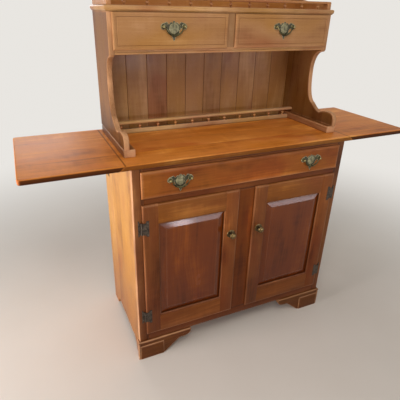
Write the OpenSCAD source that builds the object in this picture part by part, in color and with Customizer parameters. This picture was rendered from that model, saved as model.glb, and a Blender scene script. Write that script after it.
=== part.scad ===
// Drop-leaf kitchen hutch in maple. A base cabinet has one wide drawer over two panelled
// doors, its counter has a hinged leaf at each end, and an open hutch with two small
// drawers stands on it between scrolled sides.
// X runs across the front, Y from front to back, and Z is up. The origin is on the floor
// under the middle of the whole piece. Left is the side at negative X.

/* [Case] */
// Width of the case over its two side boards
case_w = 890; // [870:1:910]
// Depth from the front of the face frame to the rear edges of the sides
case_d = 435; // [425:1:455]
// Height of the counter's underside above the floor
case_h = 836; // [826:1:856]
// Thickness of the side boards, the floor, the shelf and the hutch's boards
board_t = 18; // [16:0.5:19]
// Thickness of the plywood back
ply_t = 6; // [4:0.5:8]
// Depth of the grooves in the sides that hold the floor and the shelf
housing = 6; // [3:0.5:8]
// Height of the case's lower edge, where the front feet begin
skirt_z = 92; // [86:1:98]
// Height of the shelf's upper face
shelf_z = 425; // [380:1:480]
// Setback of the shelf behind the face frame
shelf_setback = 60; // [40:1:120]

/* [Face frame] */
// Thickness of the face frame
face_t = 20; // [18:0.5:22]
// Width of each outer stile
stile_w = 37; // [35:0.5:40]
// Width of the stile between the doors
centre_w = 84; // [80:1:90]
// Height of the rail over the drawer
top_rail_h = 19; // [17:0.5:22]
// Height of the drawer opening
drawer_open_h = 81; // [76:1:90]
// Height of the rail between the drawer and the doors
middle_rail_h = 40; // [36:1:46]
// Height of the rail under the doors
bottom_rail_h = 43; // [38:1:50]
// Radius of the frame's outer corners
corner_r = 3; // [1:0.5:5]

/* [Doors and base drawer] */
// Overlap of a door or drawer front on the face frame
lip = 8; // [6:0.5:9]
// How far doors and drawer fronts stand out of the face frame
proud = 8; // [7:0.5:9]
// Thickness of the doors and the drawer fronts
door_t = 20; // [19:0.5:22]
// Gap between the rabbet of a door or drawer front and its opening
rabbet_gap = 1.5; // [1:0.25:2]
// Radius of the moulded front edge
edge_r = 5; // [3:0.5:6]
// Width of a door's stiles
door_stile_w = 62; // [56:1:68]
// Height of a door's top rail
door_top_h = 83; // [76:1:90]
// Height of a door's bottom rail
door_bottom_h = 87; // [80:1:95]
// Width of the chamfer round the inside of a door's frame
sticking = 5; // [3:0.5:6]
// Width of the sloped border of a door's panel
bevel_w = 24; // [20:1:28]
// Thickness of the tongue at the edge of a door's panel
tongue_t = 6; // [5:0.5:7]
// Depth of the groove that holds the panel
groove_d = 8; // [6:0.5:9]
// Distance of that groove behind the front of the door's frame
groove_back = 10; // [8:0.5:11]
// Setback of the panel's raised field behind the front of its frame
field_back = 2; // [1:0.5:3]

/* [Drawer boxes] */
// Thickness of the drawers' sides and backs
drawer_side_t = 12; // [10:0.5:13]
// Thickness of the drawers' bottoms
drawer_bottom_t = 5; // [4:0.5:6]
// Height of a drawer's bottom panel above the lower edge of its sides
bottom_rise = 7; // [5:0.5:9]
// Gap on each side of a drawer
slide_gap = 1.5; // [1:0.25:2]
// Gap between a running face and its seat
seat_gap = 0.3; // [0.2:0.05:0.4]
// Length of the base drawer's box behind its front
base_box_l = 370; // [350:1:380]
// Length of a hutch drawer's box behind its front
hutch_box_l = 180; // [165:1:185]
// How far the drawer's sides stop below its opening
box_drop = 4; // [3:0.5:8]
// Width of the strip under each side of the base drawer
runner_w = 34; // [30:1:40]

/* [Counter and leaves] */
// Thickness of the counter and its leaves
counter_t = 18; // [16:0.5:20]
// Overhang of the counter in front of the face frame
counter_front = 4; // [2:0.5:7]
// Overhang of the counter behind the case
counter_back = 8; // [5:0.5:12]
// Overhang of the fixed counter past the case at each end, at its underside
counter_end = 35; // [32:1:40]
// Reach of a raised leaf past the fixed counter
leaf_l = 303; // [280:1:330]
// Gap in the mitred joint between the counter and a leaf
leaf_gap = 0.5; // [0.3:0.1:1]
// Radius of the leaf's outer corners in plan
leaf_corner_r = 12; // [6:1:25]
// Radius of the rounded edges of the counter and its leaves
counter_edge_r = 4; // [2:0.5:6]
// Distance of a leaf hinge's middle from the front or rear edge
leaf_hinge_inset = 115; // [105:1:130]
// Width of each plate of a leaf hinge, from the pin
leaf_plate_w = 29; // [26:1:31]
// Length of a leaf hinge along its pin
leaf_hinge_l = 50; // [44:1:60]

/* [Leaf braces] */
// Distance of the brace from the rear edge of the leaf
brace_inset = 71; // [64:1:76]
// Distance of the brace's lower pivot out from the case
brace_out = 10; // [9.5:0.5:12]
// Distance of the upper pivot along the leaf, and of the lower one down the case, from
// the hinge pin, equal so that the brace folds flat between them
brace_reach = 135; // [128:1:145]
// Distance of the brace's upper pivot below the hinge pin
brace_under = 8; // [7:0.5:9]
// Width of a brace bar
bar_w = 12; // [10:0.5:13]
// Thickness of a brace bar
bar_t = 2; // [1.5:0.25:2.5]
// Radius of the brace's rivets
rivet_r = 2.5; // [2:0.25:3]
// Height of the plate that holds the brace on the case
brace_plate_h = 44; // [36:1:52]
// Length of the plate that holds the brace on the leaf
brace_lug_l = 28; // [24:1:36]

/* [Feet] */
// Width of a front foot
foot_w = 228; // [220:1:240]
// How far the feet stand out past the front and the sides
foot_proud = 8; // [6:0.5:8.5]
// Width of the raised block at the outer corner of a foot
foot_block_w = 108; // [100:1:116]
// Height of the same block
foot_block_h = 70; // [60:1:74]
// Height that its raised face stands above the bracket
foot_step = 4; // [2:0.5:5]
// Height of the strip along the top of a foot
foot_cap_h = 8; // [6:0.5:10]
// Height of the arch under a side board
arch_z = 50; // [42:1:56]
// Length of the side board's rear foot
rear_foot_l = 50; // [40:1:65]
// Length of the side board's front foot
front_foot_l = 30; // [24:1:45]

/* [Hutch] */
// Width of the hutch over its side boards
hutch_w = 892; // [880:1:900]
// Height of the open space between the counter and the hutch's drawers
hutch_open_h = 312; // [300:1:330]
// Height of the hutch's drawer case, without its top board
hutch_case_h = 130; // [122:1:140]
// Distance of the hutch's front behind the front of the face frame
hutch_front = 196; // [190:1:205]
// Distance of the hutch's rear behind the front of the face frame
hutch_rear = 427; // [420:1:432]
// Thickness of the grooved back
back_board_t = 9; // [8:0.5:12]
// Distance between the grooves of the back
groove_pitch = 84; // [78:1:95]
// Depth of those grooves
v_depth = 3; // [2:0.5:4]
// Setback of the hutch's side at its narrowest, behind the hutch's front
waist_in = 57; // [50:1:65]
// Reach of the side's scrolled toe in front of the hutch's front
toe_out = 130; // [122:1:136]
// Height of the cusp between the side's curve and its toe, over the counter
cusp_h = 66; // [60:1:72]
// Width of the shoe under each side
shoe_w = 41; // [36:1:46]
// Height of that shoe
shoe_h = 26; // [23:1:29]
// How far the shoe stands out past the side board
shoe_proud = 2; // [1:0.5:3]
// Overhang of the top board past the hutch's sides and front
top_overhang = 7; // [5:0.5:9]
// Height of the beaded rail under the hutch's drawers
hutch_rail_h = 18; // [16:0.5:20]
// Thickness of that rail and of the stile between the drawers
hutch_rail_t = 12; // [10:0.5:14]
// Width of the stile between the hutch's drawers
hutch_stile_w = 38; // [34:1:44]
// Overlap of a hutch drawer's front on the boards round it
hutch_lip = 4; // [3:0.5:5]

/* [Galleries] */
// Number of spindles in each gallery
spindle_n = 11; // [9:1:13]
// Distance between two spindles
spindle_pitch = 77; // [72:1:80]
// Widest radius of a spindle
spindle_r = 6; // [4.5:0.5:7]
// Height of the plate rail's lower strip on the counter
plate_strip_h = 17; // [14:1:20]
// Height of the plate rail's spindles
plate_spindle_h = 19; // [16:1:24]
// Height of the plate rail's upper strip
plate_rail_h = 12; // [10:1:14]
// Depth of the plate rail's strips
plate_rail_d = 22; // [18:1:26]
// Distance of the plate rail's front behind the hutch's front
plate_rail_back = 145; // [135:1:155]
// Height of the top gallery's spindles
top_spindle_h = 19; // [16:1:24]
// Height of the top gallery's rail
top_rail_strip_h = 9; // [8:1:12]
// Depth of the top gallery's rail
top_rail_d = 16; // [14:1:18]
// Height of the crest at the rear of the top, in its middle
crest_h = 86; // [76:1:95]
// Height of the crest at its ends
crest_end_h = 60; // [52:1:66]
// Thickness of the crest and of the gallery's end boards
crest_t = 16; // [12:1:19]

/* [Hardware] */
// Height of a knob's middle above the door's lower edge
knob_up = 392; // [370:1:410]
// Distance of a knob's middle from the door's free edge
knob_in = 29; // [25:1:34]
// Length of a knob, out from the door
knob_l = 27; // [24:0.5:30]
// Radius of the knob's head
knob_r = 13; // [11:0.5:14]
// Radius of the rose behind a knob
rose_r = 17; // [15:0.5:19]
// Distance of a door hinge's middle from the door's upper or lower edge
door_hinge_in = 90; // [80:1:100]
// Length of a door hinge's barrel
door_barrel_l = 46; // [42:1:56]
// How far a door hinge's wings reach past its barrel at each end
wing_end = 8; // [6:1:10]
// Width of a door hinge's wings, from the pin
door_wing_w = 26; // [24:1:28]
// Width of the wing on the face frame, from the pin
frame_wing_w = 12; // [10:1:16]
// Radius of the hinges' barrels
barrel_r = 3; // [2.75:0.25:3.25]
// Radius of the hinges' pins
pin_r = 1.5; // [1.25:0.25:1.75]
// Thickness of the hinges' plates
plate_t = 1.5; // [1.25:0.25:1.75]
// Gap round a pin in its bore
pin_fit = 0.05; // [0.03:0.01:0.08]
// Distance between the two posts of a pull
post_pitch = 76; // [70:1:80]
// Height of the pulls' posts over the lower edge of a base drawer's front
base_pull_up = 57; // [52:1:60]
// Distance of the base drawer's pulls from the ends of its front
base_pull_in = 137; // [120:1:155]
// Height of the posts over the lower edge of a hutch drawer's front
hutch_pull_up = 72; // [66:1:76]
// Thickness of a pull's back plate
pull_plate_t = 1.5; // [1.25:0.25:2]
// Reach of the posts in front of the back plate
post_l = 12; // [11:0.5:14]
// Radius of the bail's rod
bail_r = 2.2; // [1.8:0.1:2.6]
// Drop of the bail below its posts
bail_drop = 27; // [24:0.5:29]

/* [Hidden] */

// Wood, brass and dark bronze, as colours for the model's own views
maple = "#b9713c";
maple_light = "#c98a4e";
poplar = "#c9a878";
brass = "#8a7a4a";
bronze = "#4b4138";

// Facets of a full turn on turned and bored pieces
turn_fn = 32;
// Steps along a drawn curve
curve_n = 7;
// Overshoot of a cutter past the face that it cuts
cut = 1;

// Half sizes and levels that several pieces share
case_x = case_w / 2;
case_in = case_x - board_t;
front_reach = proud + knob_l;
back_reach = case_d + counter_back;
face_y = (front_reach - back_reach) / 2;
open_x = case_x - stile_w;
drawer_z1 = case_h - top_rail_h;
drawer_z0 = drawer_z1 - drawer_open_h;
door_z1 = drawer_z0 - middle_rail_h;
door_z0 = skirt_z + bottom_rail_h;
back_front = case_d - ply_t;
counter_z = case_h + counter_t;

// Door and drawer fronts, over their lips
door_x0 = centre_w / 2 - lip;
door_x1 = open_x + lip;
door_w = door_x1 - door_x0;
door_lo = door_z0 - lip;
door_h = door_z1 + lip - door_lo;
door_x = (door_x0 + door_x1) / 2;
door_z = door_lo + door_h / 2;
base_front_w = 2 * (open_x + lip);
base_front_lo = drawer_z0 - lip;
base_front_h = drawer_open_h + 2 * lip;
back_face = door_t - proud;

// Hinge line of a leaf, with the barrel just clear of the counter's underside
barrel_drop = barrel_r + seat_gap;
leaf_x = case_x + counter_end;
leaf_z = case_h - barrel_drop;
leaf_hinge_y = [leaf_hinge_inset - counter_front,
                back_reach - leaf_hinge_inset];
brace_y = back_reach - brace_inset;

// Brace pivots seen from the hinge line, X out along the leaf and Z up
lower_pivot = [brace_out - counter_end, -brace_reach];
upper_pivot = [brace_reach, -brace_under];
bar_l = norm(upper_pivot - lower_pivot) / 2;
bar_tilt = atan2(upper_pivot[1] - lower_pivot[1], upper_pivot[0] - lower_pivot[0]);

// Hutch levels and drawer fronts
hutch_x = hutch_w / 2;
hutch_in = hutch_x - board_t;
hutch_case_z = counter_z + hutch_open_h;
hutch_floor_z = hutch_case_z + hutch_rail_h;
hutch_top_z = hutch_case_z + hutch_case_h;
gallery_z = hutch_top_z + board_t;
hutch_back_y = hutch_rear - back_board_t - 3;
small_x0 = hutch_stile_w / 2 - hutch_lip;
small_x1 = hutch_in + hutch_lip;
small_w = small_x1 - small_x0;
small_x = (small_x0 + small_x1) / 2;
small_lo = hutch_floor_z - hutch_lip;
small_h = hutch_top_z - 1 - small_lo;
small_z = small_lo + small_h / 2;

// Door hinge pin, beside the door's edge and about level with its front
hinge_x = door_x1 + barrel_r + 0.5;
hinge_y = 1 - proud;
hinge_zs = [door_lo + door_hinge_in, door_lo + door_h - door_hinge_in];

// Bail of a pull, out from the front that its plate is on, and the pins at its ends
bail_out = pull_plate_t + post_l - 4.5;
bail_pin_r = bail_r - 0.6;
bail_pin_past = 1;

// Places of the posts, and the face of the hutch's drawers
base_pull_x = base_front_w / 2 - base_pull_in;
base_pull_z = base_front_lo + base_pull_up;
hutch_pull_z = small_lo + hutch_pull_up;
small_front_y = hutch_front - proud;

// Middles of the plate rail and the top gallery's rail, and the front of the crest
plate_y = hutch_front + plate_rail_back + plate_rail_d / 2;
top_rail_y = hutch_front + 6 + top_rail_d / 2;
crest_front = hutch_rear - crest_t - 2;

// Points of an arc round c, from angle a0 to angle a1
function arc(c, r, a0, a1, n = curve_n) =
    [for (i = [0:n]) c + r * [cos(a0 + (a1 - a0) * i / n), sin(a0 + (a1 - a0) * i / n)]];

// Points of a smooth bend from a to b that leaves a towards m and reaches b from m
function bend(a, m, b, n = curve_n) =
    [for (i = [0:n]) let (t = i / n) (1 - t) * (1 - t) * a + 2 * t * (1 - t) * m + t * t * b];

// Section of a board whose two edges share one moulding, given as [inset, y] points
function both_edges(w, edge) = concat(
    [for (p = edge) [p[0] - w / 2, p[1]]],
    [for (i = [len(edge) - 1:-1:0]) [w / 2 - edge[i][0], edge[i][1]]]);

// Edge of a lipped front: the rabbet at the back, then the lip with its rounded corner
function lipped_edge(over, r) = concat(
    [[over + rabbet_gap, back_face], [over + rabbet_gap, 0], [0, 0]],
    [for (p = arc([r, r - proud], r, 180, 270, 5)) p]);

// Puts a piece drawn from the face frame's front at its place in the cabinet
module placed() {
    translate([0, face_y, 0]) children();
}

// Draws a right-hand piece as it is, or its mirror image on the left
module on_side(left) {
    mirror([left ? 1 : 0, 0, 0]) children();
}

// Extrudes a [y, z] outline from x0 to x1
module along_x(x0, x1) {
    translate([x0, 0, 0]) rotate([90, 0, 90]) linear_extrude(x1 - x0) children();
}

// Extrudes an [x, z] outline from y0 to y1
module along_y(y0, y1) {
    translate([0, y1, 0]) rotate([90, 0, 0]) linear_extrude(y1 - y0) children();
}

// Extrudes an [x, y] outline from z0 to z1
module along_z(z0, z1) {
    translate([0, 0, z0]) linear_extrude(z1 - z0) children();
}

// Plain board between two corners
module board(a, b) {
    translate(a) cube(b - a);
}

// Upright board, centred, with one moulding on all four edges and mitred at the corners
module moulded_board(w, h, edge) {
    intersection() {
        linear_extrude(h, center = true) polygon(both_edges(w, edge));
        rotate([0, -90, 0]) linear_extrude(w, center = true) polygon(both_edges(h, edge));
    }
}

// Side board of the base: it stands on the floor on two shaped feet with an arch between
module base_side(left) {
    toe_y = face_t + front_foot_l;
    heel_y = case_d - rear_foot_l;
    half = arch_z / 2;
    outline = concat(
        [[face_t, case_h], [face_t, 0], [toe_y, 0]],
        arc([toe_y + 6 + arch_z * 0.64, arch_z * 0.36], arch_z * 0.64, 180, 90),
        arc([heel_y - arch_z, half], half, 90, 0),
        arc([heel_y, half], half, 180, 270),
        [[case_d, 0], [case_d, case_h]]);
    color(maple) placed() on_side(left) difference() {
        along_x(case_in, case_x) polygon(outline);
        for (z = [door_z0, shelf_z])
            board([case_in - cut, face_t, z - board_t], [case_in + housing, back_front, z]);
        board([case_in - cut, back_front, skirt_z], [case_in + housing, case_d + cut, case_h + cut]);
    }
}

module base_back() {
    half = case_in + housing;
    color(poplar) placed() board([-half, back_front, skirt_z], [half, case_d, case_h]);
}

module base_floor() {
    half = case_in + housing;
    color(poplar) placed()
        board([-half, face_t, door_z0 - board_t], [half, back_front, door_z0]);
}

// Fixed shelf, set back behind the doors in grooves that run on to the face frame
module base_shelf() {
    half = case_in + housing;
    color(poplar) placed() board(
        [-half, face_t + shelf_setback, shelf_z - board_t], [half, back_front, shelf_z]);
}

// Outer stile of the face frame, with its outer front corner rounded
module face_stile(left) {
    outline = concat(
        [[open_x, face_t], [open_x, 0]],
        arc([case_x - corner_r, corner_r], corner_r, -90, 0),
        [[case_x, face_t]]);
    color(maple) placed() on_side(left) along_z(skirt_z, case_h) polygon(outline);
}

module face_stile_centre() {
    color(maple) placed() board([-centre_w / 2, 0, door_z0], [centre_w / 2, face_t, door_z1]);
}

module face_rails() {
    levels = [[drawer_z1, case_h], [door_z1, drawer_z0], [skirt_z, door_z0]];
    color(maple) placed() for (l = levels)
        board([-open_x, 0, l[0]], [open_x, face_t, l[1]]);
}

// Front foot: a shaped bracket with a strip along its top and a raised block at the corner
module foot_front(left) {
    end_x = case_x + foot_proud;
    block_x = end_x - foot_block_w;
    tip_x = end_x - foot_w;
    cusp_z = skirt_z * 0.59;
    under_z = skirt_z - foot_cap_h;
    outline = concat(
        [[end_x, 0], [end_x, under_z], [tip_x, under_z]],
        bend([tip_x, under_z], [tip_x - 5, under_z - 12], [tip_x + 8, under_z - 22]),
        bend([tip_x + 8, under_z - 22], [tip_x + 16, cusp_z], [tip_x + 48, cusp_z], 5),
        bend([tip_x + 52, cusp_z], [block_x - 30, cusp_z * 0.4], [block_x - 6, 0]));
    bracket_y = foot_step - foot_proud;
    color(maple) placed() on_side(left) {
        along_y(bracket_y, face_t) polygon(outline);
        // Strip with a sloped upper edge, under the case and past its front
        along_x(tip_x, end_x) polygon([
            [face_t, under_z], [-foot_proud, under_z], [-foot_proud, skirt_z - 3],
            [-foot_proud + 3, skirt_z], [face_t, skirt_z]]);
        // Raised block with a sloped top
        along_x(block_x, end_x - 7) polygon([
            [bracket_y, 0], [-foot_proud, 0], [-foot_proud, foot_block_h - 6],
            [bracket_y, foot_block_h]]);
        // Upright bead at the corner
        along_z(0, under_z) translate([end_x - 3, bracket_y])
            circle(r = 3, $fn = turn_fn);
    }
}

// L-shaped strips that carry and guide the base drawer, and plain ones that stop it tipping
module drawer_runners() {
    guide_h = 20;
    under_z = drawer_z0 - board_t;
    guide_z = drawer_z0 + guide_h;
    color(poplar) placed() for (left = [true, false]) on_side(left) {
        along_y(face_t, back_front) polygon([
            [case_in, under_z], [case_in, guide_z], [open_x, guide_z], [open_x, drawer_z0],
            [case_in - runner_w, drawer_z0], [case_in - runner_w, under_z]]);
        board([case_in - runner_w, face_t, drawer_z1], [case_in, back_front, case_h]);
    }
}

// Spring catch behind each door's free edge, screwed to the edge of the centre stile
module door_catches() {
    catch_h = 26;
    catch_z = door_z1 - 2 * catch_h;
    x0 = centre_w / 2;
    x1 = x0 + 18;
    y0 = back_face + 1;
    y1 = face_t + 12;
    nose = 2;
    mouth = catch_h * 0.3;
    color(bronze) placed() for (left = [true, false]) on_side(left) difference() {
        along_z(catch_z, catch_z + catch_h)
            polygon([[x0, y0], [x1 - nose, y0], [x1, y0 + nose], [x1, y1], [x0, y1]]);
        board([x0 + 3, y0 - cut, catch_z + mouth],
              [x1 + cut, y0 + 5, catch_z + catch_h - mouth]);
    }
}

// Section through the counter's thickness, rounded at the front and rear, as [y, z]
function counter_section() = concat(
    arc([counter_edge_r - counter_front, case_h + counter_edge_r], counter_edge_r, 270, 180),
    arc([counter_edge_r - counter_front, counter_z - counter_edge_r], counter_edge_r, 180, 90),
    arc([back_reach - counter_edge_r, counter_z - counter_edge_r], counter_edge_r, 90, 0),
    arc([back_reach - counter_edge_r, case_h + counter_edge_r], counter_edge_r, 0, -90));

// Fixed part of the counter, with ends mitred so that its underside is the wider face
module counter_top() {
    color(maple_light) placed() intersection() {
        along_y(-counter_front, back_reach) polygon([
            [-leaf_x, case_h], [-leaf_x + counter_t, counter_z],
            [leaf_x - counter_t, counter_z], [leaf_x, case_h]]);
        along_x(-leaf_x, leaf_x) polygon(counter_section());
    }
}

// Hinged leaf, raised: its inner end is mitred over the counter's and its outer end round
module leaf(left) {
    end_x = leaf_x + leaf_l;
    r = counter_edge_r;
    color(maple_light) placed() on_side(left) intersection() {
        along_y(-counter_front, back_reach) polygon(concat(
            [[leaf_x + leaf_gap, case_h], [leaf_x + leaf_gap - counter_t, counter_z]],
            arc([end_x - r, counter_z - r], r, 90, 0),
            arc([end_x - r, case_h + r], r, 0, -90)));
        along_x(leaf_x - counter_t, end_x) polygon(counter_section());
        along_z(case_h, counter_z) polygon(concat(
            [[leaf_x - counter_t, back_reach], [leaf_x - counter_t, -counter_front]],
            arc([end_x - leaf_corner_r, leaf_corner_r - counter_front],
                leaf_corner_r, -90, 0),
            arc([end_x - leaf_corner_r, back_reach - leaf_corner_r],
                leaf_corner_r, 0, 90)));
    }
}

// Half of a three-knuckle hinge with its pin along Z and its plate to +X. The plate's
// seat faces +Y at the distance off, and the knuckles are the given thirds of the length.
module hinge_half(l, w, off, thirds) {
    third = l / 3;
    near = barrel_r + seat_gap;
    difference() {
        union() {
            board([near, off - plate_t, 0], [w, off, l]);
            for (i = thirds) {
                lo = i * third + seat_gap / 2;
                hi = (i + 1) * third - seat_gap / 2;
                board([0, off - plate_t, lo], [near, off, hi]);
                translate([0, 0, lo]) cylinder(r = barrel_r, h = hi - lo, $fn = turn_fn);
            }
        }
        translate([0, 0, -cut]) cylinder(r = pin_r + pin_fit, h = l + 2 * cut, $fn = turn_fn);
    }
}

// Puts a hinge half drawn round Z on a right-hand leaf's hinge line, seat upwards
module at_leaf_hinge(y) {
    translate([leaf_x, y + leaf_hinge_l / 2, leaf_z]) rotate([90, 0, 0]) children();
}

// Halves of the leaf hinges under the counter, each with its pin
module leaf_hinge_plates() {
    color(bronze) placed() for (left = [true, false], y = leaf_hinge_y)
        on_side(left) at_leaf_hinge(y) {
            mirror([1, 0, 0]) hinge_half(leaf_hinge_l, leaf_plate_w, barrel_drop, [0, 2]);
            cylinder(r = pin_r, h = leaf_hinge_l, $fn = turn_fn);
        }
}

// Round-ended bar of a brace, flat from the origin along +X, drilled at its first end and
// with the head of the elbow rivet at the other, on the face that starts at head_y
module brace_bar(y0, head_y) {
    along_y(y0, y0 + bar_t) difference() {
        union() {
            circle(r = bar_w / 2, $fn = turn_fn);
            translate([0, -bar_w / 2]) square([bar_l, bar_w]);
            translate([bar_l, 0]) circle(r = bar_w / 2, $fn = turn_fn);
        }
        circle(r = rivet_r + pin_fit, $fn = turn_fn);
    }
    along_y(head_y, head_y + bar_t / 2) translate([bar_l, 0])
        circle(r = rivet_r + 1.5, $fn = turn_fn);
}

// Moves to a point seen from a right-hand leaf's hinge line
module from_leaf_hinge(p) {
    translate([leaf_x + p[0], 0, leaf_z + p[1]]) children();
}

// Rivet along Y with a head past y1
module rivet(y0, y1) {
    translate([0, y1, 0]) rotate([90, 0, 0]) cylinder(r = rivet_r, h = y1 - y0, $fn = turn_fn);
    translate([0, y1 + bar_t / 2, 0]) rotate([90, 0, 0])
        cylinder(r = rivet_r + 1.5, h = bar_t / 2, $fn = turn_fn);
}

// Moving halves of one leaf's hinges, and the lug that holds its brace's upper rivet
module leaf_fittings(left) {
    seat = barrel_drop + brace_under;
    lug_y = 2 * bar_t + 2 * seat_gap;
    color(bronze) placed() on_side(left) {
        for (y = leaf_hinge_y)
            at_leaf_hinge(y) hinge_half(leaf_hinge_l, leaf_plate_w, barrel_drop, [1]);
        from_leaf_hinge(upper_pivot) translate([0, brace_y, 0]) {
            board([-brace_lug_l / 2, lug_y - bar_w, seat - bar_t],
                  [brace_lug_l / 2, lug_y + bar_t + bar_w, seat]);
            along_y(lug_y, lug_y + bar_t) union() {
                circle(r = bar_w / 2, $fn = turn_fn);
                translate([-bar_w / 2, 0]) square([bar_w, seat]);
            }
            mirror([0, 1, 0]) rivet(-lug_y - bar_t / 2, -bar_t - seat_gap);
        }
    }
}

// Plates on the case's sides, each with the lug and rivet that a lower bar turns on
module brace_wall_plates() {
    color(bronze) placed() for (left = [true, false])
        on_side(left) from_leaf_hinge(lower_pivot) translate([0, brace_y, 0]) {
            board([-brace_out, -bar_t - seat_gap - bar_w, -brace_plate_h / 2],
                  [-brace_out + bar_t, -seat_gap + bar_w, brace_plate_h / 2]);
            along_y(-bar_t - seat_gap, -seat_gap) union() {
                circle(r = bar_w / 2, $fn = turn_fn);
                translate([-brace_out, -bar_w / 2]) square([brace_out, bar_w]);
            }
            rivet(-seat_gap - bar_t / 2, bar_t + seat_gap);
        }
}

// Lower bar of one side's brace, which turns on the case
module brace_lower(left) {
    color(bronze) placed() on_side(left) from_leaf_hinge(lower_pivot)
        rotate([0, -bar_tilt, 0]) brace_bar(brace_y, brace_y - bar_t / 2);
}

// Upper bar, which turns on the leaf, in the plane just behind the lower one
module brace_upper(left) {
    y0 = brace_y + bar_t + seat_gap;
    color(bronze) placed() on_side(left) from_leaf_hinge(upper_pivot)
        rotate([0, 180 - bar_tilt, 0]) brace_bar(y0, y0 + bar_t);
}

// Front of the base drawer, lipped on all four edges
module base_drawer_front() {
    color(maple) placed() translate([0, 0, base_front_lo + base_front_h / 2])
        moulded_board(base_front_w, base_front_h, lipped_edge(lip, edge_r));
}

// Box behind a drawer front: two sides and a back with a grooved-in bottom, as the front
// stands at y0 and the sides run from x0 to x1 on a floor at z0
module drawer_box(x0, x1, y0, l, z0, z1) {
    t = drawer_side_t;
    half_t = t / 2;
    lo = z0 + bottom_rise;
    difference() {
        union() {
            board([x0, y0, z0], [x0 + t, y0 + l, z1]);
            board([x1 - t, y0, z0], [x1, y0 + l, z1]);
        }
        board([x0 + half_t, y0 - cut, lo], [x1 - half_t, y0 + l + cut, lo + drawer_bottom_t]);
        board([x0 + half_t, y0 + l - 2 * t, lo], [x1 - half_t, y0 + l - t, z1 + cut]);
    }
    board([x0 + half_t, y0 + l - 2 * t, lo + drawer_bottom_t], [x1 - half_t, y0 + l - t, z1]);
    board([x0 + half_t, y0, lo], [x1 - half_t, y0 + l - t, lo + drawer_bottom_t]);
}

module base_drawer_box() {
    half = open_x - slide_gap;
    color(poplar) placed() drawer_box(-half, half, back_face, base_box_l,
        drawer_z0 + seat_gap, drawer_z1 - box_drop);
}

// Door frame of two stiles and two rails, cut from the lipped slab round a chamfered window
module door_frame(left) {
    win_w = door_w - 2 * door_stile_w;
    win_h = door_h - door_top_h - door_bottom_h;
    win_z = (door_bottom_h - door_top_h) / 2;
    chamfer = [[0, back_face + cut], [0, sticking - proud], [-sticking - cut, -proud - cut]];
    groove_y = groove_back - proud;
    color(maple) placed() on_side(left) translate([door_x, 0, door_z])
        for (part = [-1, 1], upright = [true, false]) difference() {
            intersection() {
                moulded_board(door_w, door_h, lipped_edge(lip, edge_r));
                if (upright)
                    board([part > 0 ? win_w / 2 : -door_w / 2, -door_t, -door_h],
                          [part > 0 ? door_w / 2 : -win_w / 2, door_t, door_h]);
                else
                    board([-win_w / 2, -door_t, part > 0 ? win_z : -door_h],
                          [win_w / 2, door_t, part > 0 ? door_h : win_z]);
            }
            translate([0, 0, win_z]) {
                window_cutter(win_w, win_h, chamfer);
                board([-win_w / 2 - groove_d, groove_y, -win_h / 2 - groove_d],
                      [win_w / 2 + groove_d, groove_y + tongue_t, win_h / 2 + groove_d]);
            }
        }
}

// Solid of a window that flares towards the front
module window_cutter(w, h, edge) {
    intersection() {
        linear_extrude(h * 2, center = true) polygon(both_edges(w, edge));
        rotate([0, -90, 0]) linear_extrude(w * 2, center = true) polygon(both_edges(h, edge));
    }
}

// Raised panel: a tongue in the frame's groove, a sloped border and a flat field
module door_panel(left) {
    win_w = door_w - 2 * door_stile_w;
    win_h = door_h - door_top_h - door_bottom_h;
    win_z = (door_bottom_h - door_top_h) / 2;
    swell = 2;
    reach = groove_d - swell;
    tongue_y = groove_back - proud;
    field_y = -proud + field_back;
    edge = [[0, tongue_y + tongue_t], [0, tongue_y], [reach, tongue_y],
            [reach + bevel_w, field_y + 1], [reach + bevel_w, field_y]];
    color(maple) placed() on_side(left) translate([door_x, 0, door_z + win_z])
        moulded_board(win_w + 2 * reach, win_h + 2 * reach, edge);
}

// Turned knob with its rose, standing out of the door's front
module door_knob(left) {
    r = knob_r;
    stem_r = 5;
    head_y = knob_l - r * 0.62;
    profile = concat(
        [[0, 0], [rose_r, 0], [rose_r, 1], [rose_r - 3, 2.5], [stem_r + 1, 3.5],
         [stem_r, 6], [stem_r, head_y - r * 0.62]],
        [for (a = [-60:15:60]) [r * cos(a), head_y + r * 0.62 * sin(a) / sin(60)]],
        [[0, knob_l]]);
    color(brass) placed() on_side(left)
        translate([door_x0 + knob_in, -proud, door_lo + knob_up]) rotate([90, 0, 0])
            rotate_extrude($fn = turn_fn) polygon(profile);
}

// Outline of a hinge wing, narrow at the barrel and full height outside, as [x, z]
module wing_outline(x0, w) {
    l = door_barrel_l;
    polygon([[x0, 0], [w * 0.5, 0], [w * 0.66, -wing_end], [w, -wing_end],
             [w, l + wing_end], [w * 0.66, l + wing_end], [w * 0.5, l], [x0, l]]);
}

// Puts a hinge part drawn round Z on a right-hand door's hinge line
module at_door_hinge(z) {
    translate([hinge_x, hinge_y, z - door_barrel_l / 2]) children();
}

// Wings on the door's front, each with the middle knuckle
module door_hinge_wings(left) {
    near = barrel_r + seat_gap;
    third = door_barrel_l / 3;
    lo = third + seat_gap / 2;
    hi = 2 * third - seat_gap / 2;
    seat = -proud - hinge_y;
    color(bronze) placed() on_side(left) for (z = hinge_zs) at_door_hinge(z)
        mirror([1, 0, 0]) difference() {
            union() {
                along_y(seat - plate_t, seat) wing_outline(near, door_wing_w);
                board([0, seat - plate_t, lo], [near + cut, seat, hi]);
                translate([0, 0, lo]) cylinder(r = barrel_r, h = hi - lo, $fn = turn_fn);
            }
            translate([0, 0, -cut])
                cylinder(r = pin_r + pin_fit, h = door_barrel_l + 2 * cut, $fn = turn_fn);
        }
}

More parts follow.
